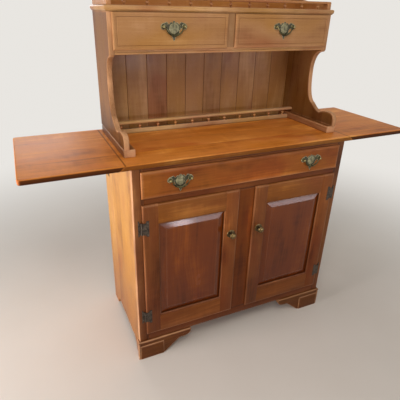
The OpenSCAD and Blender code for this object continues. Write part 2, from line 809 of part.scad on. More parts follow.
// Wings on the face frame, each stepped out to the barrel, with the two end knuckles
module frame_hinge_wings() {
    third = door_barrel_l / 3;
    seat = -hinge_y;
    web_x = barrel_r - plate_t;
    color(bronze) placed() for (left = [true, false], z = hinge_zs)
        on_side(left) at_door_hinge(z) difference() {
            union() {
                along_y(seat - plate_t, seat) wing_outline(web_x, frame_wing_w);
                for (i = [0, 2]) {
                    lo = i * third + (i > 0 ? seat_gap / 2 : 0);
                    hi = (i + 1) * third - (i > 0 ? 0 : seat_gap / 2);
                    board([web_x, 0, lo], [barrel_r, seat, hi]);
                    translate([0, 0, lo]) cylinder(r = barrel_r, h = hi - lo, $fn = turn_fn);
                }
            }
            translate([0, 0, -cut])
                cylinder(r = pin_r + pin_fit, h = door_barrel_l + 2 * cut, $fn = turn_fn);
        }
}

module door_hinge_pins() {
    color(bronze) placed() for (left = [true, false], z = hinge_zs)
        on_side(left) at_door_hinge(z) {
            cylinder(r = pin_r, h = door_barrel_l, $fn = turn_fn);
            for (end_z = [-1, door_barrel_l])
                translate([0, 0, end_z]) cylinder(r = barrel_r - 0.5, h = 1, $fn = turn_fn);
        }
}

// Half outline of a pull's back plate, from its crest to its tail: a winged shape with a
// round wing behind each post, as [x, z] from the middle between the posts
function half_plate() = let (w = post_pitch / 2) concat(
    bend([0, 18], [5, 18], [6, 11]),
    bend([6, 11], [12, 14], [16, 12], 4),
    bend([16, 12], [22, 22], [30, 15], 5),
    arc([w - 2, 2], 9.5, 70, -110, 9),
    bend([w - 12, -9], [w - 13, -24], [15, -26], 6),
    bend([12, -24], [8, -30], [5, -35], 4),
    bend([5, -35], [3, -43], [0, -46], 4));

module pull_plate_outline() {
    right = half_plate();
    polygon(concat(right, [for (i = [len(right) - 1:-1:0]) [-right[i][0], right[i][1]]]));
}

// Back plate and two posts, each post with a round head and a bore for the bail's end
module pull_fixed() {
    along_y(-pull_plate_t, 0) pull_plate_outline();
    for (s = [-1, 1]) translate([s * post_pitch / 2, 0, 0]) difference() {
        rotate([90, 0, 0]) rotate_extrude($fn = turn_fn) polygon([
            [0, pull_plate_t], [5, pull_plate_t], [5, pull_plate_t + 1],
            [3.2, pull_plate_t + 2.5], [3.2, bail_out - 4], [4.5, bail_out - 2.5],
            [4.5, bail_out + 2.5], [3, pull_plate_t + post_l - 0.6],
            [0, pull_plate_t + post_l]]);
        translate([s * (bail_pin_past + seat_gap), -bail_out, 0]) rotate([0, -s * 90, 0])
            cylinder(r = bail_pin_r + pin_fit, h = post_pitch / 2, $fn = turn_fn);
    }
}

// Bail: two pins in the posts' bores, two short arms and a round handle between them
module bail_shape() {
    arm_in = 8;
    arm_x = post_pitch / 2 - arm_in;
    ring_r = arm_x - 3;
    ring_z = ring_r - bail_drop;
    hang = asin(ring_z / ring_r);
    for (s = [-1, 1]) {
        translate([s * arm_x, 0, 0]) rotate([0, s * 90, 0])
            cylinder(r = bail_pin_r, h = arm_in + bail_pin_past, $fn = turn_fn);
        translate([s * arm_x, 0, 0]) sphere(r = bail_r, $fn = turn_fn);
    }
    translate([0, 0, ring_z]) rotate([90, 0, 0]) rotate([0, 0, 180 + hang])
        rotate_extrude(angle = 180 - 2 * hang, $fn = 2 * turn_fn)
            translate([ring_r, 0]) circle(r = bail_r, $fn = 16);
}

module pull_at(x, y, z) {
    placed() translate([x, y, z]) children();
}

module base_drawer_pulls() {
    color(brass) for (s = [-1, 1]) pull_at(s * base_pull_x, -proud, base_pull_z) pull_fixed();
}

module base_bail(s) {
    color(brass) pull_at(s * base_pull_x, -proud - bail_out, base_pull_z) bail_shape();
}

module hutch_pull(s) {
    color(brass) pull_at(s * small_x, small_front_y, hutch_pull_z) pull_fixed();
}

module hutch_bail(s) {
    color(brass) pull_at(s * small_x, small_front_y - bail_out, hutch_pull_z) bail_shape();
}

// Scrolled side of the hutch: a deep curve from the drawer case down to a cusp, then a
// round toe that stands on the shoe
module hutch_side(left) {
    z0 = counter_z + shoe_h;
    cusp = [hutch_front - 38, counter_z + cusp_h];
    waist = [hutch_front + waist_in, hutch_case_z - 74];
    toe_y = hutch_front - toe_out;
    outline = concat(
        [[hutch_rear, z0], [hutch_rear, hutch_top_z], [hutch_front, hutch_top_z],
         [hutch_front, hutch_case_z]],
        bend([hutch_front + 6, hutch_case_z - 7], [waist[0] - 8, hutch_case_z - 9], waist),
        bend(waist, [waist[0] + 2, cusp[1] + 42], [cusp[0] + 52, cusp[1] + 28]),
        bend([cusp[0] + 52, cusp[1] + 28], [cusp[0] + 26, cusp[1] + 3], cusp, 5),
        bend(cusp, [toe_y + 60, cusp[1] + 18], [toe_y + 28, cusp[1] + 12], 5),
        bend([toe_y + 28, cusp[1] + 12], [toe_y - 6, cusp[1] + 8], [toe_y + 3, z0], 6));
    color(maple) placed() on_side(left) along_x(hutch_in, hutch_x) polygon(outline);
}

// Shoes that spread the sides' weight on the counter, rounded along the top and stopped
// inside the sides where the back stands
module hutch_shoes() {
    outer = hutch_x + shoe_proud;
    inner = outer - shoe_w;
    top = counter_z + shoe_h;
    front = hutch_front - toe_out + 4;
    r = 4;
    color(maple) placed() for (left = [true, false]) on_side(left) difference() {
        intersection() {
            along_y(front, hutch_rear) polygon(concat(
                [[inner, counter_z]], arc([inner + r, top - r], r, 180, 90),
                arc([outer - r / 2, top - r / 2], r / 2, 90, 0), [[outer, counter_z]]));
            along_x(inner, outer) polygon(concat(
                [[hutch_rear, top], [hutch_rear, counter_z]],
                [[front + 2, counter_z]], arc([front + 9, top - 9], 9, 180, 90)));
        }
        board([inner - cut, hutch_back_y, counter_z - cut], [hutch_in, hutch_rear + cut, top + cut]);
    }
}

// Grooved back of the hutch, standing on the counter between the sides
module hutch_back() {
    count = floor(hutch_in / groove_pitch - 0.2);
    color(maple) placed() difference() {
        board([-hutch_in, hutch_back_y, counter_z],
              [hutch_in, hutch_back_y + back_board_t, hutch_top_z]);
        for (i = [-count:count]) translate([i * groove_pitch, hutch_back_y, 0])
            along_z(counter_z - cut, hutch_top_z + cut)
                polygon([[-v_depth, -cut / 4], [v_depth, -cut / 4], [0, v_depth]]);
    }
}

// Top board, with a rounded nose over a small cove on its front and ends
module hutch_top() {
    x = hutch_x + top_overhang;
    y0 = hutch_front - top_overhang;
    edge = concat([[4, -hutch_top_z], [3, -hutch_top_z - 4], [0, -hutch_top_z - 6]],
        [for (p = arc([5, 5 - gallery_z], 5, 180, 270, 5)) p]);
    color(maple) placed() intersection() {
        along_y(y0, hutch_rear) polygon([for (p = both_edges(2 * x, edge)) [p[0], -p[1]]]);
        along_x(-x, x) polygon(concat(
            [[hutch_rear, hutch_top_z]],
            [for (p = edge) [y0 + p[0], -p[1]]],
            [[hutch_rear, gallery_z]]));
    }
}

module hutch_drawer_floor() {
    color(maple) placed() board([-hutch_in, hutch_front + hutch_rail_t, hutch_floor_z - board_t],
                                [hutch_in, hutch_back_y, hutch_floor_z]);
}

// Rail under the hutch's drawers, with a bead along its lower edge
module hutch_bottom_rail() {
    r = 3.5;
    color(maple) placed() along_x(-hutch_in, hutch_in) polygon(concat(
        [[hutch_front + hutch_rail_t, hutch_case_z], [hutch_front + hutch_rail_t, hutch_floor_z],
         [hutch_front, hutch_floor_z], [hutch_front, hutch_case_z + 2 * r + 1],
         [hutch_front + 1.5, hutch_case_z + 2 * r]],
        arc([hutch_front + r - 1, hutch_case_z + r], r, 110, 270, 8)));
}

// Partition between the hutch's drawers, with its stile in front
module hutch_partition() {
    half = hutch_stile_w / 2;
    board_y = hutch_front + hutch_rail_t;
    color(maple) placed() {
        board([-half, hutch_front, hutch_floor_z], [half, board_y, hutch_top_z]);
        board([-board_t / 2, board_y, hutch_floor_z],
              [board_t / 2, hutch_back_y, hutch_top_z]);
    }
}

// Front of a hutch drawer, lipped, with a sunk line round its field
module hutch_drawer_front(s) {
    line_in = 13;
    color(maple) placed() translate([s * small_x, hutch_front, small_z]) difference() {
        moulded_board(small_w, small_h, lipped_edge(hutch_lip, edge_r));
        difference() {
            board([-small_w / 2 + line_in, -proud - cut, -small_h / 2 + line_in],
                  [small_w / 2 - line_in, -proud + 1.5, small_h / 2 - line_in]);
            moulded_board(small_w - 2 * line_in - 4, small_h - 2 * line_in - 4,
                          [[-1, 0], [1, -proud], [1, -proud - 2 * cut]]);
        }
    }
}

module hutch_drawer_box(s) {
    x0 = hutch_stile_w / 2 + slide_gap;
    x1 = hutch_in - slide_gap;
    color(poplar) placed() translate([s > 0 ? 0 : -(x0 + x1), hutch_front, 0])
        drawer_box(x0, x1, back_face, hutch_box_l, hutch_floor_z + seat_gap,
                   small_lo + small_h - hutch_lip - rabbet_gap - box_drop);
}

// Turned spindle of a gallery: a foot and a neck with a ball between them
module spindle(h) {
    r = spindle_r;
    rotate_extrude($fn = 24) polygon([
        [0, 0], [r * 0.75, 0], [r * 0.75, h * 0.1], [r * 0.4, h * 0.2], [r * 0.75, h * 0.33],
        [r, h * 0.48], [r * 0.8, h * 0.62], [r * 0.4, h * 0.72], [r * 0.38, h * 0.84],
        [r * 0.65, h * 0.92], [r * 0.65, h], [0, h]]);
}

module spindle_row(y, z, h) {
    for (i = [0:spindle_n - 1])
        translate([(i - (spindle_n - 1) / 2) * spindle_pitch, y, z]) spindle(h);
}

// Two strips of the plate rail on the counter, the upper one rounded
module plate_rail_strips() {
    z1 = counter_z + plate_strip_h + plate_spindle_h;
    half = plate_rail_d / 2;
    r = plate_rail_h / 2;
    shoe_in = hutch_x + shoe_proud - shoe_w;
    color(maple) placed() {
        along_x(-shoe_in, shoe_in) polygon(concat(
            [[plate_y + half - 2, counter_z], [plate_y + half - 2, counter_z + plate_strip_h]],
            arc([plate_y + 5 - half, counter_z + plate_strip_h - 3], 3, 90, 180),
            [[plate_y - half + 2, counter_z]]));
        along_x(-hutch_in, hutch_in) polygon(concat(
            arc([plate_y + half - r, z1 + r], r, -90, 90),
            arc([plate_y - half + r, z1 + r], r, 90, 270)));
    }
}

module plate_rail_spindles() {
    color(maple_light) placed()
        spindle_row(plate_y, counter_z + plate_strip_h, plate_spindle_h);
}

module top_gallery_rail() {
    z = gallery_z + top_spindle_h;
    r = top_rail_strip_h / 2;
    half = top_rail_d / 2;
    color(maple) placed() along_x(crest_t + 2 - hutch_x, hutch_x - crest_t - 2)
        polygon(concat(
            arc([top_rail_y + half - r, z + r], r, -90, 90),
            arc([top_rail_y - half + r, z + r], r, 90, 270)));
}

module top_gallery_spindles() {
    color(maple_light) placed() spindle_row(top_rail_y, gallery_z, top_spindle_h);
}

// Low end boards that sweep up to a scrolled crest at the rear
module top_gallery_boards() {
    low = top_spindle_h + top_rail_strip_h;
    y0 = top_rail_y - top_rail_d / 2;
    run = crest_front - y0;
    half = hutch_x - 2;
    color(maple) placed() {
        for (left = [true, false]) on_side(left) along_x(half - crest_t, half)
            translate([0, gallery_z]) polygon(concat(
                [[crest_front, 0], [y0, 0]],
                arc([y0 + 6, low - 6], 6, 180, 90, 4),
                bend([y0 + run * 0.48, low], [crest_front - run * 0.19, low + 2],
                     [crest_front - run * 0.06, crest_end_h - 8]),
                [[crest_front, crest_end_h]]));
        along_y(crest_front, crest_front + crest_t) translate([0, gallery_z]) polygon(concat(
            [[-half, 0], [half, 0], [half, crest_end_h - 6]],
            bend([half, crest_end_h - 6], [half, crest_end_h], [half - 10, crest_end_h], 4),
            bend([half * 0.62, crest_end_h], [half * 0.5, crest_end_h], [half * 0.42, crest_h - 8]),
            bend([half * 0.38, crest_h - 6], [half * 0.3, crest_h], [0, crest_h], 5),
            bend([0, crest_h], [-half * 0.3, crest_h], [-half * 0.38, crest_h - 6], 5),
            bend([-half * 0.42, crest_h - 8], [-half * 0.5, crest_end_h],
                 [-half * 0.62, crest_end_h]),
            bend([10 - half, crest_end_h], [-half, crest_end_h], [-half, crest_end_h - 6], 4)));
    }
}

base_side(true);  // base_side_left
base_side(false);  // base_side_right
base_back();
base_floor();
base_shelf();
face_stile(true);  // face_stile_left
face_stile(false);  // face_stile_right
face_stile_centre();
face_rails();
foot_front(true);  // foot_front_left
foot_front(false);  // foot_front_right
drawer_runners();
door_catches();
counter_top();
leaf(true);  // leaf_left
leaf(false);  // leaf_right
leaf_hinge_plates();
leaf_fittings(true);  // leaf_left_fittings
leaf_fittings(false);  // leaf_right_fittings
brace_wall_plates();
brace_lower(true);  // brace_lower_left
brace_lower(false);  // brace_lower_right
brace_upper(true);  // brace_upper_left
brace_upper(false);  // brace_upper_right
base_drawer_front();
base_drawer_box();
base_drawer_pulls();
base_bail(-1);  // base_left_bail
base_bail(1);  // base_right_bail
door_frame(true);  // door_left_frame
door_panel(true);  // door_left_panel
door_knob(true);  // door_left_knob
door_hinge_wings(true);  // door_left_hinge_wings
door_frame(false);  // door_right_frame
door_panel(false);  // door_right_panel
door_knob(false);  // door_right_knob
door_hinge_wings(false);  // door_right_hinge_wings
frame_hinge_wings();
door_hinge_pins();
hutch_side(true);  // hutch_side_left
hutch_side(false);  // hutch_side_right
hutch_shoes();
hutch_back();
hutch_top();
hutch_drawer_floor();
hutch_bottom_rail();
hutch_partition();
hutch_drawer_front(-1);  // hutch_left_drawer_front
hutch_drawer_box(-1);  // hutch_left_drawer_box
hutch_pull(-1);  // hutch_left_pull
hutch_bail(-1);  // hutch_left_bail
hutch_drawer_front(1);  // hutch_right_drawer_front
hutch_drawer_box(1);  // hutch_right_drawer_box
hutch_pull(1);  // hutch_right_pull
hutch_bail(1);  // hutch_right_bail
plate_rail_strips();
plate_rail_spindles();
top_gallery_rail();
top_gallery_spindles();
top_gallery_boards();
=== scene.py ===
import math
import bmesh
import bpy
import numpy as np
from mathutils import Matrix, Vector


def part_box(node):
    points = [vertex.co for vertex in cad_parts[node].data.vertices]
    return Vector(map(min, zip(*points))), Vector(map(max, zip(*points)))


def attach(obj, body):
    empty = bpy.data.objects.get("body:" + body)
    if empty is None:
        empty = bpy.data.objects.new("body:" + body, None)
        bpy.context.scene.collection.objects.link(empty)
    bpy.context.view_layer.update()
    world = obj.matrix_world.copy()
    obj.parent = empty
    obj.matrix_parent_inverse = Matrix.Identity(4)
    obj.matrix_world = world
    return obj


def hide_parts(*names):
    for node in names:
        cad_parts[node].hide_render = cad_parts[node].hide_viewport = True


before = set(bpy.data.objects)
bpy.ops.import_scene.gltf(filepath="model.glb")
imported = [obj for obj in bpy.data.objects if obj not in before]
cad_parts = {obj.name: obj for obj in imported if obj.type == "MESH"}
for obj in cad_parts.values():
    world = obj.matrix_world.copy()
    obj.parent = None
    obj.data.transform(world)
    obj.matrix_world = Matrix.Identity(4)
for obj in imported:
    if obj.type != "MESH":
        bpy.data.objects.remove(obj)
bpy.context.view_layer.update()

# The studio
# The hutch stands on a plain pale floor. The camera is at eye height off its left front corner,
# turned a little clockwise. A warm window lights the left side, low windows in front glance off
# the bevels of the doors, and broad lamps above fill the rest.


def tint(code):
    """Linear colour of an sRGB hex code.

    Each channel c is c / 12.92 near black, and ((c + 0.055) / 1.055) to the power 2.4 above that.
    """
    c = np.array([int(code[i:i + 2], 16) for i in (1, 3, 5)]) / 255
    c = np.where(c <= 0.04045, c / 12.92, ((c + 0.055) / 1.055) ** 2.4)
    return (*c.tolist(), 1.0)


def add(tree, kind, *feeds, **settings):
    """Adds a shader node. A feed (socket, value) links a value that is an output, and sets others."""
    node = tree.nodes.new("ShaderNode" + kind)
    for key, value in settings.items():
        setattr(node, key, value)
    for socket, value in feeds:
        if isinstance(value, bpy.types.NodeSocket):
            tree.links.new(value, node.inputs[socket])
        else:
            node.inputs[socket].default_value = value
    return node


def calculator(tree):
    """A function that adds a Math node to the tree and gives its result."""
    def calc(kind, a, b=0.0, c=0.0):
        return add(tree, "Math", (0, a), (1, b), (2, c), operation=kind).outputs[0]
    return calc


def camera_basis(yaw, pitch, roll):
    """Right, up and forward of a camera that turns by yaw, tilts by pitch, then rolls about its view.

    Forward is the level direction times cos(pitch), plus Z times sin(pitch). The roll mixes right
    and up by its cosine and sine.
    """
    a, b, c = np.radians([yaw, pitch, roll])
    right = np.array([np.cos(a), np.sin(a), 0])
    level = np.array([-np.sin(a), np.cos(a), 0])
    forward = level * np.cos(b) + np.array([0, 0, np.sin(b)])
    up = np.array([0, 0, np.cos(b)]) - level * np.sin(b)
    return right * np.cos(c) + up * np.sin(c), up * np.cos(c) - right * np.sin(c), forward


camera_place = (-0.738, -1.3396, 1.3053)
film_mm, film_pixels, focal_pixels = 36, 400, 388.3
right, up, forward = camera_basis(-24.15, -25.72, 1.18)
camera = bpy.data.objects.new("camera", bpy.data.cameras.new("camera"))
bpy.context.scene.collection.objects.link(camera)
camera.matrix_world = Matrix(np.vstack([
    np.column_stack([right, up, -forward, camera_place]), (0, 0, 0, 1)]).tolist())
camera.data.sensor_width = film_mm
camera.data.lens = focal_pixels / film_pixels * film_mm
camera.data.shift_x = 0.02
camera.data.shift_y = -0.00875
bpy.context.scene.camera = camera
bpy.context.scene.view_settings.view_transform = "Standard"


def lamp(name, place, aim, size, watts, colour, spread=180):
    """Soft lamp of that width and height, at a place, facing an aim and spreading by those degrees."""
    data = bpy.data.lights.new(name, "AREA")
    data.shape, data.size, data.size_y = "RECTANGLE", *size
    data.energy, data.color, data.spread = watts, tint(colour)[:3], math.radians(spread)
    holder = bpy.data.objects.new(name, data)
    bpy.context.scene.collection.objects.link(holder)
    turn = (Vector(aim) - Vector(place)).to_track_quat("-Z", "Y").to_matrix().to_4x4()
    holder.matrix_world = Matrix.Translation(place) @ turn


lamp("side_window", (-2.3, -0.24, 0.5), (-0.44, -0.04, 0.66), (0.9, 0.56), 15.5, "#fff3ee", 95)
lamp("high_lamp", (-0.7, -1.5, 2.5), (0, 0, 0.9), (0.9, 0.9), 19, "#fff6ea")
lamp("room_lamp", (-1.6, -2.1, 1.75), (0, 0, 0.8), (1.2, 1.2), 12, "#fdf3f0")
lamp("far_windows", (1.75, -3.2, 0.72), (0, -0.2, 0.66), (2.5, 0.22), 14, "#f1ecf4")
lamp("near_window", (0.68, -3.2, 0.72), (-0.3, -0.2, 0.66), (0.34, 0.22), 5, "#f6f2fb")
lamp("back_window", (-0.66, 2.6, 1.78), (-0.6, 0, 0.85), (0.8, 0.75), 10, "#f6f2f6")
lamp("right_window", (3.3, 0.55, 1.3), (0.3, 0.1, 0.6), (1.3, 1.3), 3, "#fff8ee")
lamp("ceiling", (0.3, 0.9, 3.8), (0.2, 0.5, 0), (3.0, 3.0), 24, "#fff9f0")


def shown_to(tree):
    """1 for rays from the camera and for mirrored or transmitted ones, else 0: the most of the three."""
    calc, rays = calculator(tree), add(tree, "LightPath").outputs
    bent = calc("MAXIMUM", rays["Is Glossy Ray"], rays["Is Transmission Ray"])
    return calc("MAXIMUM", rays["Is Camera Ray"], bent)


backdrop, backdrop_strength, air_strength = tint("#eeebe6"), 0.95, 0.19
world = bpy.data.worlds.new("studio_air")
bpy.context.scene.world = world
world.use_nodes = True
tree = world.node_tree
tree.nodes.clear()
air = add(tree, "Background", ("Color", tint("#f4ebdf")), ("Strength", air_strength))
wall = add(tree, "Background", ("Color", backdrop), ("Strength", backdrop_strength))
shown = add(tree, "MixShader", (0, shown_to(tree)), (1, air.outputs[0]), (2, wall.outputs[0]))
add(tree, "OutputWorld", ("Surface", shown.outputs[0]))


def blank_finish(name):
    """A new material and its empty node tree."""
    made = bpy.data.materials.new(name)
    made.use_nodes = True
    made.node_tree.nodes.clear()
    return made, made.node_tree


def toned(tree, value, stops, blend="LINEAR"):
    """Colour of a value on a ramp of stops (position, hex code), given in rising order."""
    node = add(tree, "ValToRGB", (0, value))
    ramp = node.color_ramp
    ramp.interpolation = blend
    for end, (position, code) in zip(ramp.elements, (stops[0], stops[-1])):
        end.position = position
        end.color = tint(code)
    for position, code in stops[1:-1]:
        ramp.elements.new(position).color = tint(code)
    return node.outputs[0]


# The floor is a disc in rings a metre wide, round a centre point that comes last.
floor_reach, floor_sides, fade_from, fade_to = 9, 96, 0.8, 2.6
a = np.linspace(0, 2 * np.pi, floor_sides, endpoint=False)
rim = np.column_stack([np.cos(a), np.sin(a), np.zeros(floor_sides)])
disc = np.concatenate([rim * radius for radius in range(1, floor_reach + 1)] + [np.zeros((1, 3))])
i = np.arange(floor_sides)
j = np.roll(i, -1)
tiles = [np.column_stack([np.full(floor_sides, len(disc) - 1), i, j]).tolist()]
for k in range(0, (floor_reach - 1) * floor_sides, floor_sides):
    tiles.append(np.column_stack([k + i, k + floor_sides + i, k + floor_sides + j, k + j]).tolist())
floor_mesh = bpy.data.meshes.new("studio_floor")
floor_mesh.from_pydata(disc, [], sum(tiles, []))
floor_object = bpy.data.objects.new("studio_floor", floor_mesh)
bpy.context.scene.collection.objects.link(floor_object)
floor_paint, tree = blank_finish("floor_paint")
place = add(tree, "TexCoord").outputs["Object"]
speck = add(tree, "TexNoise", ("Vector", place), ("Scale", 3.0), ("Detail", 4.0)).outputs[0]
shade = toned(tree, speck, [(0, "#d9d5cf"), (1, "#e2dfda")])
matt = add(tree, "BsdfPrincipled", ("Base Color", shade), ("Roughness", 0.75))
# Away from the cabinet the floor turns into the pale backdrop, for the camera and for mirrors.
away = add(tree, "VectorMath", (0, place), operation="LENGTH").outputs["Value"]
fade = add(tree, "MapRange", (0, away), (1, fade_from), (2, fade_to), interpolation_type="SMOOTHSTEP")
share = calculator(tree)("MULTIPLY", shown_to(tree), fade.outputs[0])
glow = add(tree, "Emission", ("Color", backdrop), ("Strength", backdrop_strength))
both = add(tree, "MixShader", (0, share), (1, matt.outputs[0]), (2, glow.outputs[0]))
add(tree, "OutputMaterial", ("Surface", both.outputs[0]))
floor_mesh.materials.append(floor_paint)

# Sides of the base
# Two wide maple boards, each glued up from upright planks, sawn at the foot to a flat arch.
# They are stained honey brown, lacquered satin, and worn paler along their arrises, which also
# carry a painted highlight, and near the floor they are painted darker with painted shade and soil.


def maple(name, along, seed, dark, mid, light, planks=None, sheen=0.36, figure=1.0, coat=0.05,
          mirror=0.16):
    """Stained maple on Object coordinates, with its grain along one axis.

    Growth rings are noise over the distance from a wandering pith. Fibres, flecks, curl and
    clouds of stain are noises stretched along the grain. planks = (axis, width) starts the
    pattern anew in each glued plank. Near the floor the wood is painted darker: painted shade,
    and soil. The mesh's edge attribute is above 0 where the finish has worn thin, and there also
    paints a highlight; it is below 0 where dirt has gathered, and there also paints the shade in
    gaps, recesses and under lips.
    """
    stained, tree = blank_finish(name)
    calc = calculator(tree)

    def ramp(value, low, high, a=0.0, b=1.0):
        """The value taken straight from low...high to a...b, and held at both ends."""
        return add(tree, "MapRange", (0, value), (1, low), (2, high), (3, a), (4, b)).outputs[0]

    def over(factor, a, b, mode="MULTIPLY"):
        """Colour a, by that factor turned into a times the hex code b, or into b itself with MIX."""
        return add(tree, "Mix", (0, factor), (6, a), (7, tint(b)), data_type="RGBA",
                   blend_type=mode).outputs[2]

    def grain(lengthwise, crosswise, detail=2.0, rough=0.5):
        """Noise with that many waves a metre along the grain and across it."""
        spot = add(tree, "CombineXYZ", (0, calc("MULTIPLY", run, lengthwise)),
                   (1, calc("MULTIPLY", side, crosswise)), (2, calc("MULTIPLY", deep, crosswise)))
        return add(tree, "TexNoise", ("Vector", spot.outputs[0]), ("Scale", 1.0), ("Detail", detail),
                   ("Roughness", rough)).outputs[0]

    axes = add(tree, "SeparateXYZ", (0, add(tree, "TexCoord").outputs["Object"])).outputs
    run, side, deep = (axes["xyz".index(a)] for a in {"x": "xyz", "y": "yxz", "z": "zxy"}[along])
    run = calc("ADD", run, seed * 1.7)
    if planks:
        cell = calc("DIVIDE", calc("ADD", axes["xyz".index(planks[0])], seed * 0.013), planks[1])
        number = calc("FLOOR", cell)
        luck = add(tree, "TexWhiteNoise", ("W", calc("ADD", number, seed)),
                   noise_dimensions="1D").outputs[0]
        run = calc("ADD", run, calc("MULTIPLY", luck, 9.0))
        gap = calc("ABSOLUTE", calc("SUBTRACT", calc("SUBTRACT", cell, number), 0.5))
        # The dark line between two planks fades out half a millimetre to each side.
        seam = ramp(gap, 0.5 - 0.0005 / planks[1], 0.5 - 0.0001 / planks[1])
    # The pith lies 0.11 m deep and wanders 0.1 m to each side, and from plank to plank 0.15 m more.
    # Its growth rings are noise with 150 waves a metre.
    across = calc("ADD", side, calc("MULTIPLY_ADD", grain(1.1, 2.0), 0.20, -0.10))
    if planks:
        across = calc("ADD", across, calc("MULTIPLY_ADD", luck, 0.3, -0.15))
    under = calc("ADD", deep, 0.11)
    pith = calc("SQRT", calc("MULTIPLY_ADD", across, across, calc("MULTIPLY", under, under)))
    rings = add(tree, "TexNoise", ("W", calc("MULTIPLY", pith, 150.0)), ("Scale", 1.0),
                ("Detail", 1.5), noise_dimensions="1D").outputs[0]
    fibre = grain(11.0, 460.0, 2.5, 0.6)
    streak = grain(2.2, 75.0, 3.0, 0.6)
    flecks = grain(75.0, 1300.0, 1.0)
    cloud = grain(3.0, 9.0, 3.0, 0.6)
    curl = grain(60.0, 10.0, 1.0)
    patch = grain(4.0, 7.0)
    # The tone is 0.5 plus each part's share of its distance from 0.5.
    shares = [(rings, 0.16 * figure), (streak, 0.22 * figure), (fibre, 0.16 * figure), (cloud, 0.9),
              (curl, 0.10)]
    if planks:
        shares.append((luck, 0.20))
    tone = 0.5 - sum(share for _, share in shares) / 2
    for part, share in shares:
        tone = calc("MULTIPLY_ADD", part, share, tone)
    stain = toned(tree, ramp(tone, 0.22, 0.78), [(0, dark), (0.5, mid), (1, light)], "EASE")
    ticks = ramp(flecks, 0.64, 0.74, 0.0, 0.30)
    lines, hollows = ticks, ticks
    if planks:
        lines = calc("MAXIMUM", ticks, calc("MULTIPLY", seam, 0.6))
        hollows = calc("ADD", ticks, seam)
    wood = over(lines, stain, "#5d3014")
    wood = over(ramp(patch, 0.42, 0.66), wood, "#fbf4cc")
    wood = over(ramp(patch, 0.46, 0.30), wood, "#ecd3ca")
    # Darker towards the floor: painted shade, as the lower parts get less light, and soil.
    low_shade_and_soil = calc("MULTIPLY", ramp(axes[2], 0.55, 0.0, 0.0, 0.95), ramp(cloud, 0.3, 0.7, 0.6, 1.0))
    wood = over(low_shade_and_soil, wood, "#a87a5c")
    edge = add(tree, "Attribute", attribute_name="edge").outputs["Fac"]
    # Where edge is above 0 the wood turns paler: wear on arrises and lips, and a painted highlight where
    # light glints on them.
    rub_and_glint = calc("MULTIPLY", calc("MAXIMUM", edge, 0.0), ramp(cloud, 0.36, 0.62, 0.25, 0.85))
    rub_and_glint = calc("MULTIPLY", rub_and_glint, ramp(fibre, 0.3, 0.6, 0.3, 0.65))
    wood = over(rub_and_glint, wood, "#cf9f76", "MIX")
    # Where edge is below 0 the wood turns dark brown: dirt, and painted shade in gaps, recesses and under
    # lips.
    dirt_and_shade = calc("MULTIPLY", calc("MAXIMUM", calc("MULTIPLY", edge, -1.0), 0.0), 0.8)
    wood = over(dirt_and_shade, wood, "#41200e", "MIX")
    shine = calc("MULTIPLY_ADD", calc("ADD", rub_and_glint, ticks), 0.22,
                 calc("MULTIPLY_ADD", cloud, 0.16, sheen - 0.08))
    relief = calc("MULTIPLY_ADD", hollows, -1.2, calc("MULTIPLY", fibre, 0.5))
    bump = add(tree, "Bump", ("Strength", 0.32), ("Distance", 0.0005), ("Height", relief))
    body = add(tree, "BsdfPrincipled", ("Base Color", wood), ("Roughness", shine),
               ("Normal", bump.outputs[0]), ("Specular IOR Level", mirror),
               ("Coat Weight", coat), ("Coat Roughness", 0.12))
    add(tree, "OutputMaterial", ("Surface", body.outputs[0]))
    return stained


def corners_of(node):
    """Lowest and highest corner of a CAD node at rest."""
    return [np.array(corner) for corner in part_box(node)]


def inset(loop, d):
    """A closed loop moved inwards by d.

    Each corner moves by d times the sum of its two sides' normals, over 1 plus their dot product.
    """
    before = loop - np.roll(loop, 1, 0)
    after = np.roll(loop, -1, 0) - loop
    area = np.sum(loop[:, 0] * np.roll(loop[:, 1], -1) - np.roll(loop[:, 0], -1) * loop[:, 1])
    turn = np.array([[0, 1], [-1, 0]]) * np.sign(area)
    n0 = before / np.linalg.norm(before, axis=1)[:, None] @ turn
    n1 = after / np.linalg.norm(after, axis=1)[:, None] @ turn
    return loop + d * (n0 + n1) / (1 + np.sum(n0 * n1, 1))[:, None]


def rectangle(lo, hi, corner, n=3):
    """Loop of a rectangle with quarter circles of that radius at its corners, n steps each."""
    corner = max(corner, 0.00001)
    a = np.radians(np.linspace(0, 90, n + 1))[None, :] + np.radians([180, 270, 0, 90])[:, None]
    middle = np.array([(0, 0), (1, 0), (1, 1), (0, 1)])
    inner = np.asarray(lo) + corner + middle * (np.asarray(hi) - lo - 2 * corner)
    return (inner[:, None, :] + corner * np.stack([np.cos(a), np.sin(a)], 2)).reshape(-1, 2)


def arc(centre, radius, start, stop, n=8):
    """Points at equal angles, in degrees, along a circle."""
    a = np.radians(np.linspace(start, stop, n + 1))
    return np.asarray(centre) + radius * np.stack([np.cos(a), np.sin(a)], 1)


def bend(a, m, b, n=10):
    """Parabola from a to b whose end tangents meet at m: (1-t)^2 a + 2t(1-t) m + t^2 b."""
    t = np.linspace(0, 1, n + 1)[:, None]
    return (1 - t) ** 2 * np.asarray(a) + 2 * t * (1 - t) * np.asarray(m) + t ** 2 * np.asarray(b)


def eased(lo, hi, r):
    """Steps (level, inset, edge) through a board whose arrises are quarter circles of radius r.

    Each quarter has three steps, where the arris is paler, wear with a painted highlight, and a
    band inside each face lets it fade.
    """
    a = np.radians(np.linspace(0, 90, 4))
    rise, into = r * (1 - np.cos(a)), r * (1 - np.sin(a))
    foot = [(lo, 5 * r, 0.0), (lo, r + 0.0006, 0.4)] + [(lo + z, d, 1.0) for z, d in zip(rise, into)]
    return foot + [(hi - (z - lo), d, e) for z, d, e in reversed(foot)]


